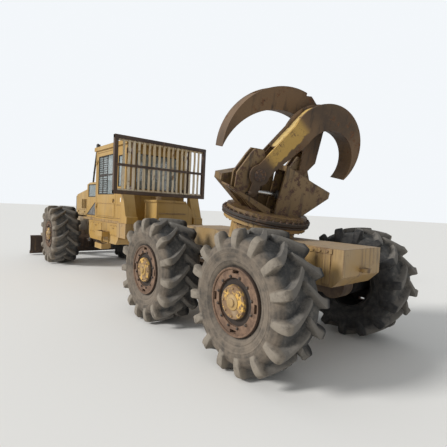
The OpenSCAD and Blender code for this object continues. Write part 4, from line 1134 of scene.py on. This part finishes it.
# x is counted from the hood's rear edge
hood = {"rear": 8.200 - middle, "long": 1.900, "side": 0.500, "vents": 6, "vent": 0.35, "ventGap": 0.17,
        "ventWide": 0.080, "ventLow": 1.836, "ventHigh": 2.164, "lip": 0.014, "latches": (0.16, 0.95, 1.62)}


def makeHoodTrim(side, hand):
    # frames round the vents, latches with a bolt each, a strip and a row of bolts along the foot
    h = hood
    low, high, lip, areas = h["ventLow"], h["ventHigh"], h["lip"], []
    for i in range(h["vents"]):
        x0 = h["vent"] + i * h["ventGap"]
        x1 = x0 + h["ventWide"]
        areas += [(x0 - lip, x0, low, high), (x1, x1 + lip, low, high),
                  (x0, x1, low, low + lip), (x0, x1, high - lip, high)]
    areas.append((0.04, h["long"] - 0.05, 1.795, 1.806))
    boxes = sideBoxes(side, h["side"] - 0.002, h["side"] + 0.008, h["rear"], areas)
    latches = [(x, x + 0.06, 1.70, 1.76) for x in h["latches"]]
    boxes += sideBoxes(side, h["side"] - 0.002, h["side"] + 0.016, h["rear"], latches)
    knobs = [(x + 0.03, 1.73, 0, 0, 1) for x in h["latches"]]
    bolts = sideBolts(side, h["side"] + 0.012, h["rear"], knobs, 0.014, 0.012)
    bolts += sideBolts(side, h["side"] + 0.004, h["rear"], [(0.10, 1.64, 0.24, 0, 8)], 0.010, 0.010)
    makePlates("hoodTrim_" + hand, boxes, "yellow_paint", "front_frame", bolts, 0.002)


sideBox = {"side": 0.910, "cover": 0.009, "covers": ((5.33, 5.80), (6.40, 7.30)), "low": 1.215, "high": 1.500,
           "handles": (5.52, 6.80), "handle": 0.10}


def makeBoxCovers(side, hand):
    # a bolted cover over each part of the box, with a bent handle
    face, rear = sideBox["side"] + sideBox["cover"], axles["rear"]["x"]
    areas = [(x0, x1, sideBox["low"], sideBox["high"]) for x0, x1 in sideBox["covers"]]
    boxes = sideBoxes(side, sideBox["side"] - 0.002, face, rear, areas)
    runs = [(x0 + 0.03, z, (x1 - x0 - 0.06) / 4, 0, 5) for x0, x1 in sideBox["covers"] for z in (1.24, 1.475)]
    bolts = sideBolts(side, face, rear, runs, 0.009, 0.009)
    handles = bmesh.new()
    for x in sideBox["handles"]:
        corners = [(x, -0.003), (x, 0.028), (x + sideBox["handle"], 0.028), (x + sideBox["handle"], -0.003)]
        addTube(handles, [(rear + x, side * (face + out), 1.42) for x, out in corners], 0.007, 8)
    makePlates("boxCovers_" + hand, boxes, "yellow_paint", "front_frame", bolts + [handles])


# treads and runners are counted from a step's side and rear end, their heights from its level
steps = {"rear": 5.850 - middle, "front": 6.350 - middle, "levels": (0.840, 1.170), "out": 0.910,
         "tread": (0.028, 0.172), "bars": 9, "barAt": 0.045, "barGap": 0.05, "bar": 0.010,
         "barZ": (0.108, 0.134),
         "runners": 3, "runnerAt": 0.045, "runnerGap": 0.045, "runnerShort": 0.028, "runnerZ": (0.102, 0.124)}


def makeStepTreads(side, hand):
    s, tread = steps, bmesh.new()
    y = span(side, *(s["out"] + edge for edge in s["tread"]))
    x0, x1 = s["rear"] + s["runnerShort"], s["front"] - s["runnerShort"]
    for z in s["levels"]:
        low, high = (z + rise for rise in s["barZ"])
        for i in range(s["bars"]):
            x = s["rear"] + s["barAt"] + i * s["barGap"]
            addBlock(tread, (x, y[0], low), (x + s["bar"], y[1], high), 0.001)
        low, high = (z + rise for rise in s["runnerZ"])
        for i in range(s["runners"]):
            along = side * (s["out"] + s["runnerAt"] + i * s["runnerGap"])
            addBlock(tread, (x0, along - 0.004, low), (x1, along + 0.004, high), 0.001)
    finished("stepTreads_" + hand, tread, "dark_steel", "front_frame")


# the cowl's window, and the corners in x and z of the pierced panel below it
cowl = {"pane": (7.30 - middle, 8.08 - middle, 2.23, 2.62), "paneIn": 0.710, "paneOut": 0.750,
        "panel": [(7.22 - middle, 1.68), (8.14 - middle, 1.68), (7.22 - middle, 2.17)],
        "panelIn": 0.748, "panelOut": 0.758, "edgeAt": 0.757, "edge": 0.011}


def makeCowlFittings(side, hand):
    low, high = sideBoxes(side, cowl["paneIn"], cowl["paneOut"], 0.0, [cowl["pane"]])[0]
    makeGlazing("cowlPane_" + hand, "cowlSeal_" + hand, "front_frame", [(low, high, 1)])
    panel = bmesh.new()
    y = span(side, cowl["panelIn"], cowl["panelOut"])
    addSkin(panel, [[panel.verts.new((x, depth, z)) for x, z in cowl["panel"]] for depth in y])
    finished("cowlPanel_" + hand, panel, "pierced_steel", "front_frame")
    edges = bmesh.new()
    corners = [(x, side * cowl["edgeAt"], z) for x, z in cowl["panel"]]
    for one, two in zip(corners, corners[1:] + corners[:1]):
        addTube(edges, [one, two], cowl["edge"], 8)
    finished("cowlEdge_" + hand, edges, "dark_steel", "front_frame")


# heights above the deck of the cab's seams, and x and z of the bare paper plate
cabTrim = {"seams": (0.07, 0.42, 0.80), "seam": 0.014, "end": doorway["rear"] - cab["rear"] - 0.05,
           "plate": (0.16, 0.34, 2.105, 2.215)}


def makeCabTrim():
    face, deck, boxes, bolts = cab["side"], cab["deck"], [], []
    areas = [(0.03, cabTrim["end"], deck + z, deck + z + cabTrim["seam"]) for z in cabTrim["seams"]]
    areas.append((0.02, 0.02 + cabTrim["seam"], deck + 0.07, cab["top"] - 0.10))
    for side in (1, -1):
        boxes += sideBoxes(side, face - 0.002, face + 0.010, cab["rear"], areas)
        bolts += sideBolts(side, face + 0.001, cab["rear"], [(0.06, deck + 0.12, 0, 0.16, 5)], 0.008, 0.008)
    makePlates("cabTrim", boxes, "yellow_paint", "front_frame", bolts)
    boxes = sideBoxes(1, face - 0.001, face + 0.003, cab["rear"], [cabTrim["plate"]])
    makePlates("barePlate", boxes, "paper_white", "front_frame", bevel=0.001)


makeRearPads()
makeTankFittings()
for side, hand in hands:
    makeHoodTrim(side, hand)
    makeBoxCovers(side, hand)
    makeStepTreads(side, hand)
    makeCowlFittings(side, hand)
makeCabTrim()
print("frame and body fittings made")

view = {"place": (-3.109 - middle, 4.415, 2.075), "yaw": -39.763, "pitch": -2.607, "roll": 2.61,
        "focal": 343.0 / 447.0, "sensor": 36.0, "far": 400.0}
light = {"sun": 2.8, "sunFrom": (0.38, 0.90, 0.55), "softness": 14.0, "sky": 0.55,
         "room": (0.92, 0.96, 1.0, 1.0), "backdrop": (0.90, 0.93, 0.96, 1.0),
         "floor": (0.80, 0.78, 0.74, 1.0), "floorSize": 150.0, "floorAt": -0.002}


def makeStage():
    sheet = bmesh.new()
    bmesh.ops.create_grid(sheet, x_segments=1, y_segments=1, size=light["floorSize"])
    for vert in sheet.verts:
        vert.co.z = light["floorAt"]
    mesh = bpy.data.meshes.new("floor")
    sheet.to_mesh(mesh)
    sheet.free()
    mesh.materials.append(Finish("pale floor", Roughness=0.9).set(Base_Color=light["floor"]))
    floor = placed("floor", mesh)


def makeLights():
    sun = bpy.data.lights.new("sun", "SUN")
    sun.energy, sun.angle = light["sun"], math.radians(light["softness"])
    lamp = placed("sun", sun)
    lamp.rotation_euler = Vector(light["sunFrom"]).to_track_quat("Z", "Y").to_euler()
    world = bpy.data.worlds.new("studio")
    bpy.context.scene.world = world
    world.use_nodes = True
    # the camera and panes see a pale backdrop, everything else a dimmer room
    sky = Tree(world.node_tree)
    rays = sky.node("ShaderNodeLightPath").outputs
    seen = Wire(sky, rays["Is Camera Ray"]).maths("MAXIMUM", rays["Is Transmission Ray"])
    room = sky.node("ShaderNodeBackground", {}, {"Color": light["room"], "Strength": light["sky"]})
    back = sky.node("ShaderNodeBackground", {}, {"Color": light["backdrop"], "Strength": 1.0})
    mix = sky.node("ShaderNodeMixShader", {}, {0: seen, 1: room.outputs[0], 2: back.outputs[0]})
    sky.node("ShaderNodeOutputWorld", {}, {"Surface": mix.outputs[0]})


def makeCamera():
    yaw, pitch, roll = (math.radians(view[key]) for key in ("yaw", "pitch", "roll"))
    ahead = Vector((math.cos(pitch) * math.cos(yaw), math.cos(pitch) * math.sin(yaw), math.sin(pitch)))
    across = Vector((math.sin(yaw), -math.cos(yaw), 0.0))
    up = across.cross(ahead)
    across, up = math.cos(roll) * across + math.sin(roll) * up, math.cos(roll) * up - math.sin(roll) * across
    lens = bpy.data.cameras.new("camera")
    lens.sensor_width, lens.sensor_fit = view["sensor"], "HORIZONTAL"
    lens.lens = view["sensor"] * view["focal"]
    lens.clip_end = view["far"]
    camera = placed("camera", lens)
    facing = Matrix((across, up, -ahead)).transposed().to_4x4()
    camera.matrix_world = Matrix.Translation(view["place"]) @ facing
    bpy.context.scene.camera = camera


makeStage()
makeLights()
makeCamera()
bpy.context.scene.view_settings.view_transform = "Standard"
